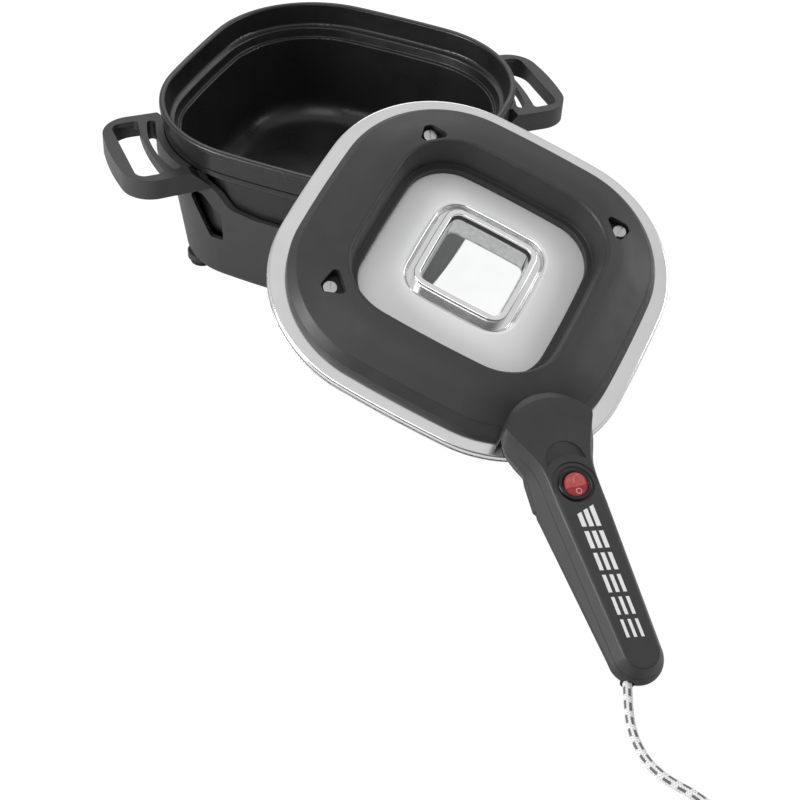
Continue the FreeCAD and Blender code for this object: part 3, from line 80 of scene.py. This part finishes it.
cord_radius = 3.15 * MM
cord_mouth = Vector((-0.0038014, -0.3367417, 0.0077725))
cord_way = Vector((-0.455545, -0.890213, 0))
cord_route = [
    (-15.5, -559, 3.3), (-19.3, -575.5, 3.2), (-19.3, -590.5, 3.2), (-14.7, -604.8, 3.2),
    (-3.2, -621.2, 3.2), (4.3, -641.9, 3.2), (5.1, -663.9, 3.2),
]
mouth_lead = 12 * MM         # straight lengths at the handle, before the coil and at the plug
coil_lead = 26 * MM
plug_lead = 16 * MM
coil_centre = from_bowl(42.0, -718.0)
coil_middle = 35.0 * MM
coil_pitch = 8.1 * MM
coil_layer = 7.2 * MM
coil_turns = 3.5
coil_start = radians(175.0)
coil_climb = 0.25            # turns before and after the middle, over which the coil climbs
turn_points = 16
spline_order = 3
spline_steps = 12
plug_back = from_bowl(96.0, -660.0, 18.6)
plug_way = Vector((0.35, 0.94, 0)).normalized()
braid_sides = 28
braid_step = 0.9 * MM
braid_lay = 11.5 * MM        # length over which a strand goes once round the cord
braid_strands = 6
braid_relief = 0.16 * MM
braid_swing = 0.25           # share of the relief by which a strand dips under the other


def coil_point(turns):
    """The coil's middle line: inwards on the table, up, and outwards on top."""
    half = coil_turns / 2
    inner = coil_middle - coil_pitch * (half - 0.5) / 2
    radius = inner + coil_pitch * max(abs(turns - half) - coil_climb, 0)
    level = cord_radius
    if turns > half - coil_climb:
        share = min((turns - half + coil_climb) / (2 * coil_climb), 1)
        level += coil_layer * (share - sin(2 * pi * share) / (2 * pi))
    angle = coil_start + 2 * pi * turns
    return coil_centre + Vector((radius * cos(angle), radius * sin(angle), level))


def coil_tangent(turns):
    step = 0.001
    return (coil_point(turns + step) - coil_point(turns - step)).normalized()


def cord_points():
    """Control points of the whole cord, from the handle through the coil to the plug."""
    first_way, last_way = coil_tangent(0), coil_tangent(coil_turns)
    lead = 2 * cord_radius
    start = coil_point(0) - first_way * lead
    end = coil_point(coil_turns) + last_way * lead
    points = [cord_mouth, cord_mouth + cord_way * mouth_lead]
    points += [from_bowl(*place) for place in cord_route]
    points += [start - first_way * coil_lead, start]
    points += [coil_point(i / turn_points) for i in range(int(coil_turns * turn_points) + 1)]
    points += [end, end + last_way * plug_lead, plug_back - plug_way * plug_lead, plug_back]
    return points


def cord_line():
    """The cord's middle line as points of one smooth spline."""
    points = cord_points()
    curve = bpy.data.curves.new("cord_line", "CURVE")
    curve.dimensions = "3D"
    spline = curve.splines.new("NURBS")
    spline.points.add(len(points) - 1)
    for place, point in zip(spline.points, points):
        place.co = (*point, 1)
    spline.order_u = spline_order
    spline.use_endpoint_u = True
    spline.resolution_u = spline_steps
    holder = add_object("cord_line", curve)
    bpy.context.view_layer.update()
    mesh = bpy.data.meshes.new_from_object(holder)
    line = [v.co.copy() for v in mesh.vertices]
    bpy.data.objects.remove(holder)
    bpy.data.meshes.remove(mesh)
    return line


def even_stations(line, step):
    """Points with their distance from the start, evenly along a line, and the way ahead at each."""
    lengths = [0.0]
    for a, b in zip(line, line[1:]):
        lengths.append(lengths[-1] + (b - a).length)
    count = round(lengths[-1] / step)
    shortest = 1e-9
    stations = []
    k = 0
    for i in range(count + 1):
        target = lengths[-1] * i / count
        while k < len(line) - 2 and lengths[k + 1] < target:
            k += 1
        share = (target - lengths[k]) / max(lengths[k + 1] - lengths[k], shortest)
        stations.append((line[k].lerp(line[k + 1], share), target))
    ways = []
    for i in range(count + 1):
        before = stations[max(i - 1, 0)][0]
        after = stations[min(i + 1, count)][0]
        ways.append((after - before).normalized())
    return stations, ways


def braid_height(turn, length):
    """Relief of the woven sleeve, from 0 in a gap to 1 on a strand's crown."""
    a = braid_strands * (turn + length / braid_lay)
    b = braid_strands * (turn - length / braid_lay)
    low = 1 - braid_swing
    over = braid_swing * sin(pi * (a + b)) * sin(pi * (a - b) / 2)
    return max(abs(sin(pi * a)) * (low + over), abs(sin(pi * b)) * (low - over))


def braid_rings(stations, ways):
    """Rings of points round the cord's middle line, with the sleeve's relief."""
    side = ways[0].cross(UP).normalized()
    rings = []
    for (place, length), way in zip(stations, ways):
        side = (side - way * side.dot(way)).normalized()
        other = way.cross(side)
        ring = []
        for k in range(braid_sides):
            turn = k / braid_sides
            angle = 2 * pi * turn
            reach = cord_radius - braid_relief * (1 - braid_height(turn, length))
            ring.append(place + side * cos(angle) * reach + other * sin(angle) * reach)
        rings.append(ring)
    return rings


def tube_faces(ring_count):
    """Faces between neighbouring rings, and one over each end."""
    faces = []
    for i in range(ring_count - 1):
        low = i * braid_sides
        high = low + braid_sides
        for k in range(braid_sides):
            j = (k + 1) % braid_sides
            faces.append((low + k, low + j, high + j, high + k))
    last = (ring_count - 1) * braid_sides
    faces.append(tuple(reversed(range(braid_sides))))
    faces.append(tuple(range(last, last + braid_sides)))
    return faces


def lay_texture(mesh, ring_count, step):
    """Texture coordinates: the turn round the cord, and the length counted in lays."""
    layer = mesh.uv_layers.new(name="along")
    loop = 0
    for i in range(ring_count - 1):
        for k in range(braid_sides):
            for turn, ring in ((k, i), (k + 1, i), (k + 1, i + 1), (k, i + 1)):
                layer.data[loop].uv = (turn / braid_sides, ring * step / braid_lay)
                loop += 1


def cord():
    """Braided mains cord as one tube; returns the piece and its middle line."""
    stations, ways = even_stations(cord_line(), braid_step)
    rings = braid_rings(stations, ways)
    mesh = bpy.data.meshes.new("cord")
    mesh.from_pydata([point for ring in rings for point in ring], [], tube_faces(len(rings)))
    lay_texture(mesh, len(rings), step=stations[1][1])
    mesh.shade_smooth()
    return add_object("cord", mesh), [station[0] for station in stations]


# Node helpers

noise_spread = (0.3, 0.7)    # the range in which nearly all of a noise texture's values lie


class Look:
    """A material whose textures are measured in metres on the piece itself."""

    def __init__(self, name, colour, roughness, metallic=0.0, **sockets):
        self.material = bpy.data.materials.new(name)
        self.material.use_nodes = True
        self.tree = self.material.node_tree
        self.shader = self.tree.nodes["Principled BSDF"]
        self.colour = colour
        self.roughness = roughness
        self.shader.inputs["Base Color"].default_value = (*colour, 1)
        self.shader.inputs["Roughness"].default_value = roughness
        self.shader.inputs["Metallic"].default_value = metallic
        for key, value in sockets.items():
            self.shader.inputs[key.replace("_", " ")].default_value = value
        self.where = self.add("ShaderNodeTexCoord").outputs["Object"]
        self.normal = None

    def add(self, kind, **values):
        node = self.tree.nodes.new(kind)
        for key, value in values.items():
            setattr(node, key, value)
        return node

    def join(self, source, target):
        self.tree.links.new(source, target)

    def paint(self, colour):
        """Links a colour to the shader."""
        self.join(colour, self.shader.inputs["Base Color"])

    def stretched(self, scale, turn=(0, 0, 0)):
        mapping = self.add("ShaderNodeMapping")
        mapping.inputs["Scale"].default_value = scale
        mapping.inputs["Rotation"].default_value = turn
        self.join(self.where, mapping.inputs["Vector"])
        return mapping.outputs["Vector"]

    def split(self, where):
        """The first two coordinates of a place."""
        node = self.add("ShaderNodeSeparateXYZ")
        self.join(where, node.inputs["Vector"])
        return node.outputs["X"], node.outputs["Y"]

    def on_lid(self, place):
        """Coordinates on the leaning lid from one of its points: towards its handle, and across."""
        mapping = self.add("ShaderNodeMapping", vector_type="TEXTURE")
        mapping.inputs["Location"].default_value = place
        mapping.inputs["Rotation"].default_value = (0, lid_pitch, lid_heading)
        self.join(self.where, mapping.inputs["Vector"])
        return self.split(mapping.outputs["Vector"])

    def noise(self, size, detail=2.0, where=None):
        node = self.add("ShaderNodeTexNoise")
        node.inputs["Scale"].default_value = 1 / size
        node.inputs["Detail"].default_value = detail
        self.join(where or self.where, node.inputs["Vector"])
        return node.outputs["Fac"]

    def cells(self, size):
        node = self.add("ShaderNodeTexVoronoi")
        node.inputs["Scale"].default_value = 1 / size
        self.join(self.where, node.inputs["Vector"])
        return node.outputs["Distance"]

    def maths(self, kind, a, b=None):
        node = self.add("ShaderNodeMath", operation=kind)
        for socket, value in zip(node.inputs, (a, b)):
            if value is None:
                continue
            if isinstance(value, (int, float)):
                socket.default_value = value
            else:
                self.join(value, socket)
        return node.outputs["Value"]

    def away(self, value, middle):
        """How far a value lies from a middle one."""
        return self.maths("ABSOLUTE", self.maths("SUBTRACT", value, middle))

    def distance(self, a, b):
        """Length of a line whose two coordinates are given."""
        squares = self.maths("POWER", a, 2.0), self.maths("POWER", b, 2.0)
        return self.maths("SQRT", self.maths("ADD", *squares))

    def between(self, value, spread=noise_spread, results=(0.0, 1.0)):
        """Maps a spread of values to results, and clips there."""
        node = self.add("ShaderNodeMapRange")
        node.inputs["From Min"].default_value, node.inputs["From Max"].default_value = spread
        node.inputs["To Min"].default_value, node.inputs["To Max"].default_value = results
        self.join(value, node.inputs["Value"])
        return node.outputs["Result"]

    def within(self, value, edge, full=1.0):
        """Full inside of a soft edge, 0 outside of it."""
        return self.between(value, edge, (full, 0.0))

    def mixed(self, share, first, last):
        node = self.add("ShaderNodeMix", data_type="RGBA")
        self.join(share, node.inputs["Factor"])
        for socket, value in ((node.inputs[6], first), (node.inputs[7], last)):
            if isinstance(value, tuple):
                socket.default_value = (*value, 1)
            else:
                self.join(value, socket)
        return node.outputs[2]

    def vary_colour(self, value, change, spread=noise_spread):
        """The base colour from darker to lighter by the given factor."""
        dark = tuple(c * (1 - change) for c in self.colour)
        light = tuple(min(c * (1 + change), 1) for c in self.colour)
        self.paint(self.mixed(self.between(value, spread), dark, light))

    def vary_roughness(self, value, change):
        """The roughness from lower to higher by the given amount."""
        low = max(self.roughness - change, 0.0)
        high = min(self.roughness + change, 1.0)
        self.join(self.between(value, results=(low, high)), self.shader.inputs["Roughness"])

    def bump(self, height, depth, strength=1.0):
        """Adds a relief on top of those before it."""
        node = self.add("ShaderNodeBump")
        node.inputs["Distance"].default_value = depth
        node.inputs["Strength"].default_value = strength
        self.join(height, node.inputs["Height"])
        if self.normal:
            self.join(self.normal, node.inputs["Normal"])
        self.normal = node.outputs["Normal"]
        self.join(self.normal, self.shader.inputs["Normal"])


def grained_plastic(name, colour, roughness, grain=0.35 * MM, depth=0.02 * MM):
    """Moulded plastic with a fine spark-eroded grain and slightly uneven gloss."""
    look = Look(name, colour, roughness)
    fine = look.noise(grain, detail=3)
    broad = look.noise(14 * MM)
    look.vary_colour(broad, 0.08)
    look.vary_roughness(broad, 0.04)
    look.bump(fine, depth)
    look.bump(broad, 0.05 * MM, strength=0.4)
    return look


def gloss_plastic(name, colour, roughness):
    """Polished moulding with faint flow marks."""
    look = Look(name, colour, roughness)
    broad = look.noise(6 * MM)
    look.vary_colour(broad, 0.06)
    look.vary_roughness(look.noise(1.5 * MM, detail=3), 0.04)
    look.bump(broad, 0.01 * MM)
    return look


def drawn_steel(name, colour, roughness):
    """Plain or plated steel with fine rolling lines and dull spots."""
    look = Look(name, colour, roughness, metallic=1.0)
    lines = look.noise(0.12 * MM, detail=3, where=look.stretched((1, 0.04, 1)))
    spots = look.noise(4 * MM, detail=3)
    look.vary_colour(spots, 0.08)
    look.vary_roughness(spots, 0.08)
    look.bump(lines, 0.004 * MM)
    return look


def rubber(name, colour):
    """Matte rubber with a dusty bloom."""
    look = Look(name, colour, roughness=0.85)
    bloom = look.noise(3 * MM, detail=4)
    look.vary_colour(bloom, 0.25, spread=(0.35, 0.7))
    look.vary_roughness(bloom, 0.08)
    look.bump(look.noise(0.5 * MM, detail=3), 0.03 * MM)
    return look


def insulated_wire(name, colour):
    """Smooth wire insulation, a little uneven along its length."""
    look = Look(name, colour, roughness=0.35)
    broad = look.noise(5 * MM)
    look.vary_colour(broad, 0.1)
    look.vary_roughness(broad, 0.08)
    look.bump(broad, 0.05 * MM)
    return look


# Material of the bowl

coating_colour = (0.012, 0.012, 0.0125)
fleck_colour = (0.03, 0.03, 0.031)
fleck_size = 0.9 * MM
fleck_edge = (0.06, 0.12)


def bowl_coating():
    """Black non-stick coating: sprayed, matt, with fine flecks."""
    look = Look("bowl_coating", coating_colour, roughness=0.3)
    spray = look.noise(0.45 * MM, detail=4)
    broad = look.noise(22 * MM)
    flecks = look.between(look.cells(fleck_size), fleck_edge)
    look.paint(look.mixed(flecks, fleck_colour, coating_colour))
    look.vary_roughness(broad, 0.05)
    look.bump(spray, 0.03 * MM)
    return look


# Materials of the lid

lid_middle = from_bowl(12.9, -235.6, 123.1382)
lid_pitch = radians(23.2897)
lid_heading = radians(-91.1)
chrome_colours = (0.815, 0.815, 0.82), (0.865, 0.865, 0.87)
chrome_roughness = (0.13, 0.21)
satin_colour = (0.93, 0.93, 0.935)
satin_dulling = 0.42         # added to the chrome's roughness on the panel round the window
satin_metal = 0.1
satin_start = (64.0 * MM, 66.0 * MM)
satin_end = (155.0 * MM, 160.0 * MM)


def panel_share(look):
    """1 on the panel between the window's moat and the cover, 0 on the rest of the pressing.

    The moat's edge is a rounded square with its corners on the lid's axes, so that the distance is
    the fourth root of the sum of the fourth powers of ahead + aside and ahead - aside.
    """
    ahead, aside = look.on_lid(lid_middle)
    powers = []
    for kind in ("ADD", "SUBTRACT"):
        slant = look.maths("ABSOLUTE", look.maths(kind, ahead, aside))
        powers.append(look.maths("POWER", slant, 4.0))
    square = look.maths("POWER", look.maths("ADD", *powers), 1 / 4)
    return look.maths("MULTIPLY", look.between(square, satin_start), look.within(square, satin_end))


def chrome_pressing():
    """Chromed pressing: the flange polished, the panel in the cover's recess satin."""
    look = Look("chrome_pressing", (0.84, 0.84, 0.845), roughness=0.16, metallic=1.0)
    haze = look.noise(35 * MM, detail=3)
    scratches = look.noise(0.25 * MM, where=look.stretched((1, 0.03, 1), turn=(0, 0, 0.6)))
    panel = panel_share(look)
    chrome = look.mixed(look.between(haze), *chrome_colours)
    look.paint(look.mixed(panel, chrome, satin_colour))
    uneven = look.maths("ADD", look.maths("MULTIPLY", haze, 0.7),
                        look.maths("MULTIPLY", scratches, 0.3))
    polished = look.between(uneven, results=chrome_roughness)
    look.join(look.maths("ADD", polished, look.maths("MULTIPLY", panel, satin_dulling)),
              look.shader.inputs["Roughness"])
    look.join(look.between(panel, (0.0, 1.0), (1.0, satin_metal)), look.shader.inputs["Metallic"])
    look.bump(scratches, 0.002 * MM)
    look.bump(haze, 0.1 * MM, strength=0.3)
    return look


def frame_chrome():
    look = Look("frame_chrome", (0.9, 0.9, 0.905), roughness=0.1, metallic=1.0)
    haze = look.noise(9 * MM, detail=3)
    look.vary_colour(haze, 0.03)
    look.vary_roughness(haze, 0.03)
    look.bump(haze, 0.02 * MM, strength=0.4)
    return look


def window_glass():
    """Clear tempered glass, faintly green in its depth."""
    look = Look("window_glass", (0.97, 0.985, 0.98), roughness=0.03, Transmission_Weight=1.0,
                IOR=1.5)
    smear = look.noise(12 * MM, detail=3)
    look.vary_colour(smear, 0.015)
    look.vary_roughness(smear, 0.02)
    look.bump(look.noise(20 * MM, detail=1), 0.02 * MM, strength=0.3)
    return look


def heated_sheath():
    """Heater sheath, tanned by heat in patches."""
    look = Look("heated_sheath", (0.2, 0.17, 0.15), roughness=0.45, metallic=0.9)
    patches = look.noise(18 * MM, detail=4)
    look.paint(look.mixed(look.between(patches, (0.35, 0.65)), (0.1, 0.085, 0.08),
                          (0.3, 0.25, 0.2)))
    look.vary_roughness(patches, 0.12)
    look.bump(look.noise(0.6 * MM, detail=3), 0.02 * MM)
    return look


def mineral_wool():
    look = Look("mineral_wool", (0.72, 0.69, 0.6), roughness=0.95, Sheen_Weight=0.3)
    fibres = look.noise(0.8 * MM, detail=5, where=look.stretched((1, 1, 6)))
    look.vary_colour(fibres, 0.22)
    look.bump(fibres, 0.8 * MM)
    return look


def glass_sleeve():
    """Woven sleeve over the thermal cut-out."""
    look = Look("glass_sleeve", (0.82, 0.8, 0.72), roughness=0.7, Sheen_Weight=0.2)
    weave = look.cells(0.5 * MM)
    look.vary_colour(weave, 0.15, spread=(0.1, 0.6))
    look.bump(weave, 0.1 * MM)
    return look


# Materials of the switch, the handle's bars and the cord
# A mark's or a colour's edge is given as where it begins to fade and where it has gone.

rocker_pivot = (9.4511 * MM, -219.5319 * MM, 72.5884 * MM)
lens_fold = (1.4 * MM, 1.8 * MM)
lens_edge = (6.9 * MM, 8.2 * MM)
# The raised facet's colours hold a painted reflection of light from above; the pressed facet's
# colours hold painted shade.
lens_raised_painted_light = (0.6, 0.1, 0.09), (0.78, 0.17, 0.16)
lens_pressed_painted_shade = (0.3, 0.008, 0.014), (0.42, 0.016, 0.024)
lens_rim = (0.2, 0.006, 0.01)
ring_spot = (5.0 * MM, 0.8 * MM)
ring_radius = 1.8 * MM
ring_colour = (0.8, 0.3, 0.3)
stroke_spot = (-2.9 * MM, -0.75 * MM)
stroke_end = (2.0 * MM, 2.2 * MM)
stroke_strength = 0.6
stroke_colour = (0.85, 0.36, 0.35)
mark_edge = (0.3 * MM, 0.5 * MM)
# Painted shade in the gaps between the strands, darker than their crowns.
braid_gap_painted_shade = (0.5, 0.5, 0.51)
braid_crown = (0.82, 0.82, 0.83)
dash_colour = (0.12, 0.12, 0.125)
dash_rows = 5
dash_pitch = 10 * MM
dash_end = (0.26, 0.32)
dash_side = (0.23, 0.31)


def stripe_white():
    """Opaque white bars with a soft satin surface."""
    look = Look("stripe_white", (0.8, 0.8, 0.8), roughness=0.4)
    broad = look.noise(3 * MM, detail=3)
    look.vary_colour(broad, 0.025)
    look.vary_roughness(broad, 0.06)
    look.bump(look.noise(0.3 * MM, detail=3), 0.01 * MM)
    return look


def rocker_red():
    """Red lens: painted reflection on the raised side, painted shade on the pressed side, a faint
    stroke and a small ring.
    """
    look = Look("rocker_red", (0.62, 0.045, 0.04), roughness=0.2, Transmission_Weight=0.2,
                Coat_Weight=0.3, Coat_Roughness=0.08)
    ahead, aside = look.on_lid(rocker_pivot)
    broad = look.noise(2.5 * MM)
    uneven = look.between(broad)
    # Painted reflection on the raised facet, painted shade on the pressed facet.
    colour = look.mixed(look.between(ahead, lens_fold), look.mixed(uneven, *lens_raised_painted_light),
                        look.mixed(uneven, *lens_pressed_painted_shade))
    colour = look.mixed(look.between(look.distance(ahead, aside), lens_edge), colour, lens_rim)
    ring = look.distance(look.maths("SUBTRACT", ahead, ring_spot[0]),
                         look.maths("SUBTRACT", aside, ring_spot[1]))
    colour = look.mixed(look.within(look.away(ring, ring_radius), mark_edge), colour, ring_colour)
    stroke = look.maths("MULTIPLY",
                        look.within(look.away(ahead, stroke_spot[0]), stroke_end, stroke_strength),
                        look.within(look.away(aside, stroke_spot[1]), mark_edge))
    look.paint(look.mixed(stroke, colour, stroke_colour))
    look.vary_roughness(broad, 0.04)
    look.bump(broad, 0.02 * MM)
    return look


def lamp_glass():
    look = Look("lamp_glass", (0.98, 0.8, 0.6), roughness=0.05, Transmission_Weight=0.9)
    smoke = look.noise(2 * MM)
    look.vary_colour(smoke, 0.08)
    look.vary_roughness(smoke, 0.03)
    return look


def braid():
    """Light textile sleeve with painted shade between its strands and dark dashes along it, set in
    staggered rows.
    """
    look = Look("braid", (0.7, 0.7, 0.7), roughness=0.85, Sheen_Weight=0.4)
    around, along = look.split(look.add("ShaderNodeTexCoord").outputs["UV"])
    strands = []
    for kind in ("ADD", "SUBTRACT"):
        turns = look.maths("MULTIPLY", look.maths(kind, around, along), float(braid_strands))
        wave = look.maths("SINE", look.maths("MULTIPLY", turns, pi))
        strands.append(look.maths("ABSOLUTE", wave))
    crown = look.maths("MAXIMUM", *strands)
    rows = look.maths("MULTIPLY", around, float(dash_rows))
    stagger = look.maths("MULTIPLY", look.maths("FLOOR", rows), 1 / dash_rows)
    dashes = look.maths("ADD", look.maths("MULTIPLY", along, braid_lay / dash_pitch), stagger)
    dark = look.maths("MULTIPLY",
                      look.within(look.away(look.maths("FRACT", dashes), 0.5), dash_end),
                      look.within(look.away(look.maths("FRACT", rows), 0.5), dash_side))
    # Painted shade in the gaps, the strands' own colour on their crowns.
    plain = look.mixed(look.between(crown, (0.5, 1.0)), braid_gap_painted_shade, braid_crown)
    look.paint(look.mixed(dark, plain, dash_colour))
    look.bump(look.noise(0.25 * MM, detail=3), 0.05 * MM)
    return look


# Studio

floor_half = 6.0
floor_white = 1.05
floor_share = 0.92           # how far the floor is plain white to the camera; the rest takes shadow
room_level = 0.6
dark_level = 0.16
dark_way = Vector((-0.3, -0.85, 0.25)).normalized()
dark_edge = (0.35, 0.85)     # cosines to dark_way: the room begins to darken, and is darkest
lamp_aim = Vector((0, -0.05, 0.1))
lamps = {                    # place in metres, size in metres, watts
    "above": ((0.1, -0.1, 1.9), (1.6, 1.6), 1),
    "left": ((-1.9, 0.0, 0.75), (1.0, 1.0), 30),
    "behind": ((0.8, 1.7, 1.6), (1.4, 0.8), 6),
    "front": ((-0.6, -0.7, 1.7), (1.0, 1.0), 7),
    "right": ((1.6, -0.2, 0.9), (0.7, 0.7), 6),
}


def shade_floor():
    """Pale floor: white to the camera save for the object's soft shadow."""
    look = Look("floor_paper", (0.82, 0.82, 0.82), roughness=0.9)
    look.vary_colour(look.noise(60 * MM, detail=3), 0.01)
    look.bump(look.noise(2 * MM), 0.02 * MM)
    white = look.add("ShaderNodeEmission")
    white.inputs["Color"].default_value = (1, 1, 1, 1)
    white.inputs["Strength"].default_value = floor_white
    ray = look.add("ShaderNodeLightPath")
    seen = look.maths("MAXIMUM", ray.outputs["Is Camera Ray"], ray.outputs["Is Transmission Ray"])
    mix = look.add("ShaderNodeMixShader")
    look.join(look.maths("MULTIPLY", seen, floor_share), mix.inputs["Fac"])
    look.join(look.shader.outputs["BSDF"], mix.inputs[1])
    look.join(white.outputs["Emission"], mix.inputs[2])
    look.join(mix.outputs["Shader"], look.tree.nodes["Material Output"].inputs["Surface"])
    return look


def floor():
    half = floor_half
    mesh = bpy.data.meshes.new("floor")
    mesh.from_pydata([(-half, -half, 0), (half, -half, 0), (half, half, 0), (-half, half, 0)],
                     [], [(0, 1, 2, 3)])
    mesh.materials.append(shade_floor().material)
    add_object("floor", mesh)


def room():
    """The world: an even room, darker behind the camera, and white where the camera sees it."""
    world = bpy.data.worlds.new("studio")
    bpy.context.scene.world = world
    world.use_nodes = True
    tree = world.node_tree
    way = tree.nodes.new("ShaderNodeTexCoord")
    along = tree.nodes.new("ShaderNodeVectorMath")
    along.operation = "DOT_PRODUCT"
    along.inputs[1].default_value = dark_way
    shade = tree.nodes.new("ShaderNodeMapRange")
    shade.inputs["From Min"].default_value, shade.inputs["From Max"].default_value = dark_edge
    shade.inputs["To Min"].default_value = room_level
    shade.inputs["To Max"].default_value = dark_level
    ray = tree.nodes.new("ShaderNodeLightPath")
    seen = tree.nodes.new("ShaderNodeMix")
    seen.data_type = "RGBA"
    seen.inputs[7].default_value = (1, 1, 1, 1)
    for source, target in (
        (way.outputs["Generated"], along.inputs[0]),
        (along.outputs["Value"], shade.inputs["Value"]),
        (ray.outputs["Is Camera Ray"], seen.inputs["Factor"]),
        (shade.outputs["Result"], seen.inputs[6]),
        (seen.outputs[2], tree.nodes["Background"].inputs["Color"]),
    ):
        tree.links.new(source, target)


def studio():
    """Soft boxes round the object, the strongest one low at the left, in a pale room."""
    room()
    for name, (place, size, power) in lamps.items():
        data = bpy.data.lights.new(name, "AREA")
        data.shape = "RECTANGLE"
        data.size, data.size_y = size
        data.energy = power
        piece = add_object(name, data)
        piece.location = place
        piece.rotation_euler = (lamp_aim - Vector(place)).to_track_quat("-Z", "Y").to_euler()
    bpy.context.scene.view_settings.view_transform = "Standard"


# Which material each piece has


def dress():
    """Gives every node its material, save the cord's own nodes, which the tube replaces."""
    handle = grained_plastic("handle_plastic", (0.026, 0.026, 0.027), 0.44, 0.3 * MM, 0.018 * MM)
    cover = grained_plastic("cover_plastic", (0.024, 0.024, 0.025), 0.46, depth=0.022 * MM)
    stand = grained_plastic("stand_plastic", (0.034, 0.034, 0.035), 0.46, 0.4 * MM, 0.03 * MM)
    zinc = drawn_steel("zinc", (0.72, 0.72, 0.7), 0.3)
    plain = drawn_steel("plain_steel", (0.55, 0.55, 0.56), 0.38)
    brass = drawn_steel("brass", (0.75, 0.58, 0.3), 0.3)
    soft_black = rubber("soft_black", (0.012, 0.012, 0.012))
    looks = {
        "bowl": bowl_coating(),
        "stand": stand,
        "foot_1": soft_black,
        "foot_2": soft_black,
        "foot_3": soft_black,
        "foot_4": soft_black,
        "foot_screws": zinc,
        "lid_shell": chrome_pressing(),
        "lid_pan": drawn_steel("pan_steel", (0.6, 0.6, 0.61), 0.3),
        "window_frame": frame_chrome(),
        "window_glass": window_glass(),
        "window_seal": rubber("seal", (0.02, 0.02, 0.02)),
        "window_sleeve": drawn_steel("polished_sleeve", (0.86, 0.86, 0.865), 0.1),
        "heating_element": heated_sheath(),
        "element_terminals": zinc,
        "element_clips": plain,
        "insulation_ring": mineral_wool(),
        "thermostat": grained_plastic("phenolic", (0.06, 0.035, 0.025), 0.4),
        "thermal_fuse": glass_sleeve(),
        "cover_ring": cover,
        "cover_posts": plain,
        "cover_screws": drawn_steel("bright_screw", (0.6, 0.6, 0.61), 0.32),
        "handle_upper": handle,
        "handle_lower": handle,
        "handle_screws": drawn_steel("black_zinc", (0.09, 0.09, 0.095), 0.35),
        "handle_stripes": stripe_white(),
        "handle_bracket": plain,
        "bracket_screw": zinc,
        "switch_body": gloss_plastic("switch_black", (0.006, 0.006, 0.006), 0.22),
        "switch_rocker": rocker_red(),
        "switch_lamp": lamp_glass(),
        "switch_blades": brass,
        "terminal_block": gloss_plastic("block_white", (0.75, 0.74, 0.7), 0.4),
        "terminal_screws": zinc,
        "cord_clamp": grained_plastic("clamp_plastic", (0.03, 0.03, 0.03), 0.5),
        "clamp_screws": zinc,
        "cord_grommet": soft_black,
        "wire_live": insulated_wire("wire_brown", (0.12, 0.05, 0.02)),
        "wire_neutral": insulated_wire("wire_blue", (0.02, 0.09, 0.35)),
        "wire_earth": insulated_wire("wire_green_yellow", (0.2, 0.42, 0.04)),
        "wire_load": insulated_wire("wire_black", (0.012, 0.012, 0.012)),
        "cord_inner": insulated_wire("cord_sleeve_inside", (0.6, 0.6, 0.6)),
        "plug_body": grained_plastic("plug_black", (0.012, 0.012, 0.012), 0.45, 0.3 * MM),
        "plug_pins": drawn_steel("nickel", (0.75, 0.72, 0.66), 0.18),
        "plug_contacts": brass,
    }
    for name, look in looks.items():
        for slot in nodes[name].material_slots:
            slot.material = look.material


camera()
cord_piece, cord_path = cord()
cord_piece.data.materials.append(braid().material)
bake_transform(cord_piece)
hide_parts("cord_free", "cord_coil", "cord_tail")
dress()
floor()
studio()
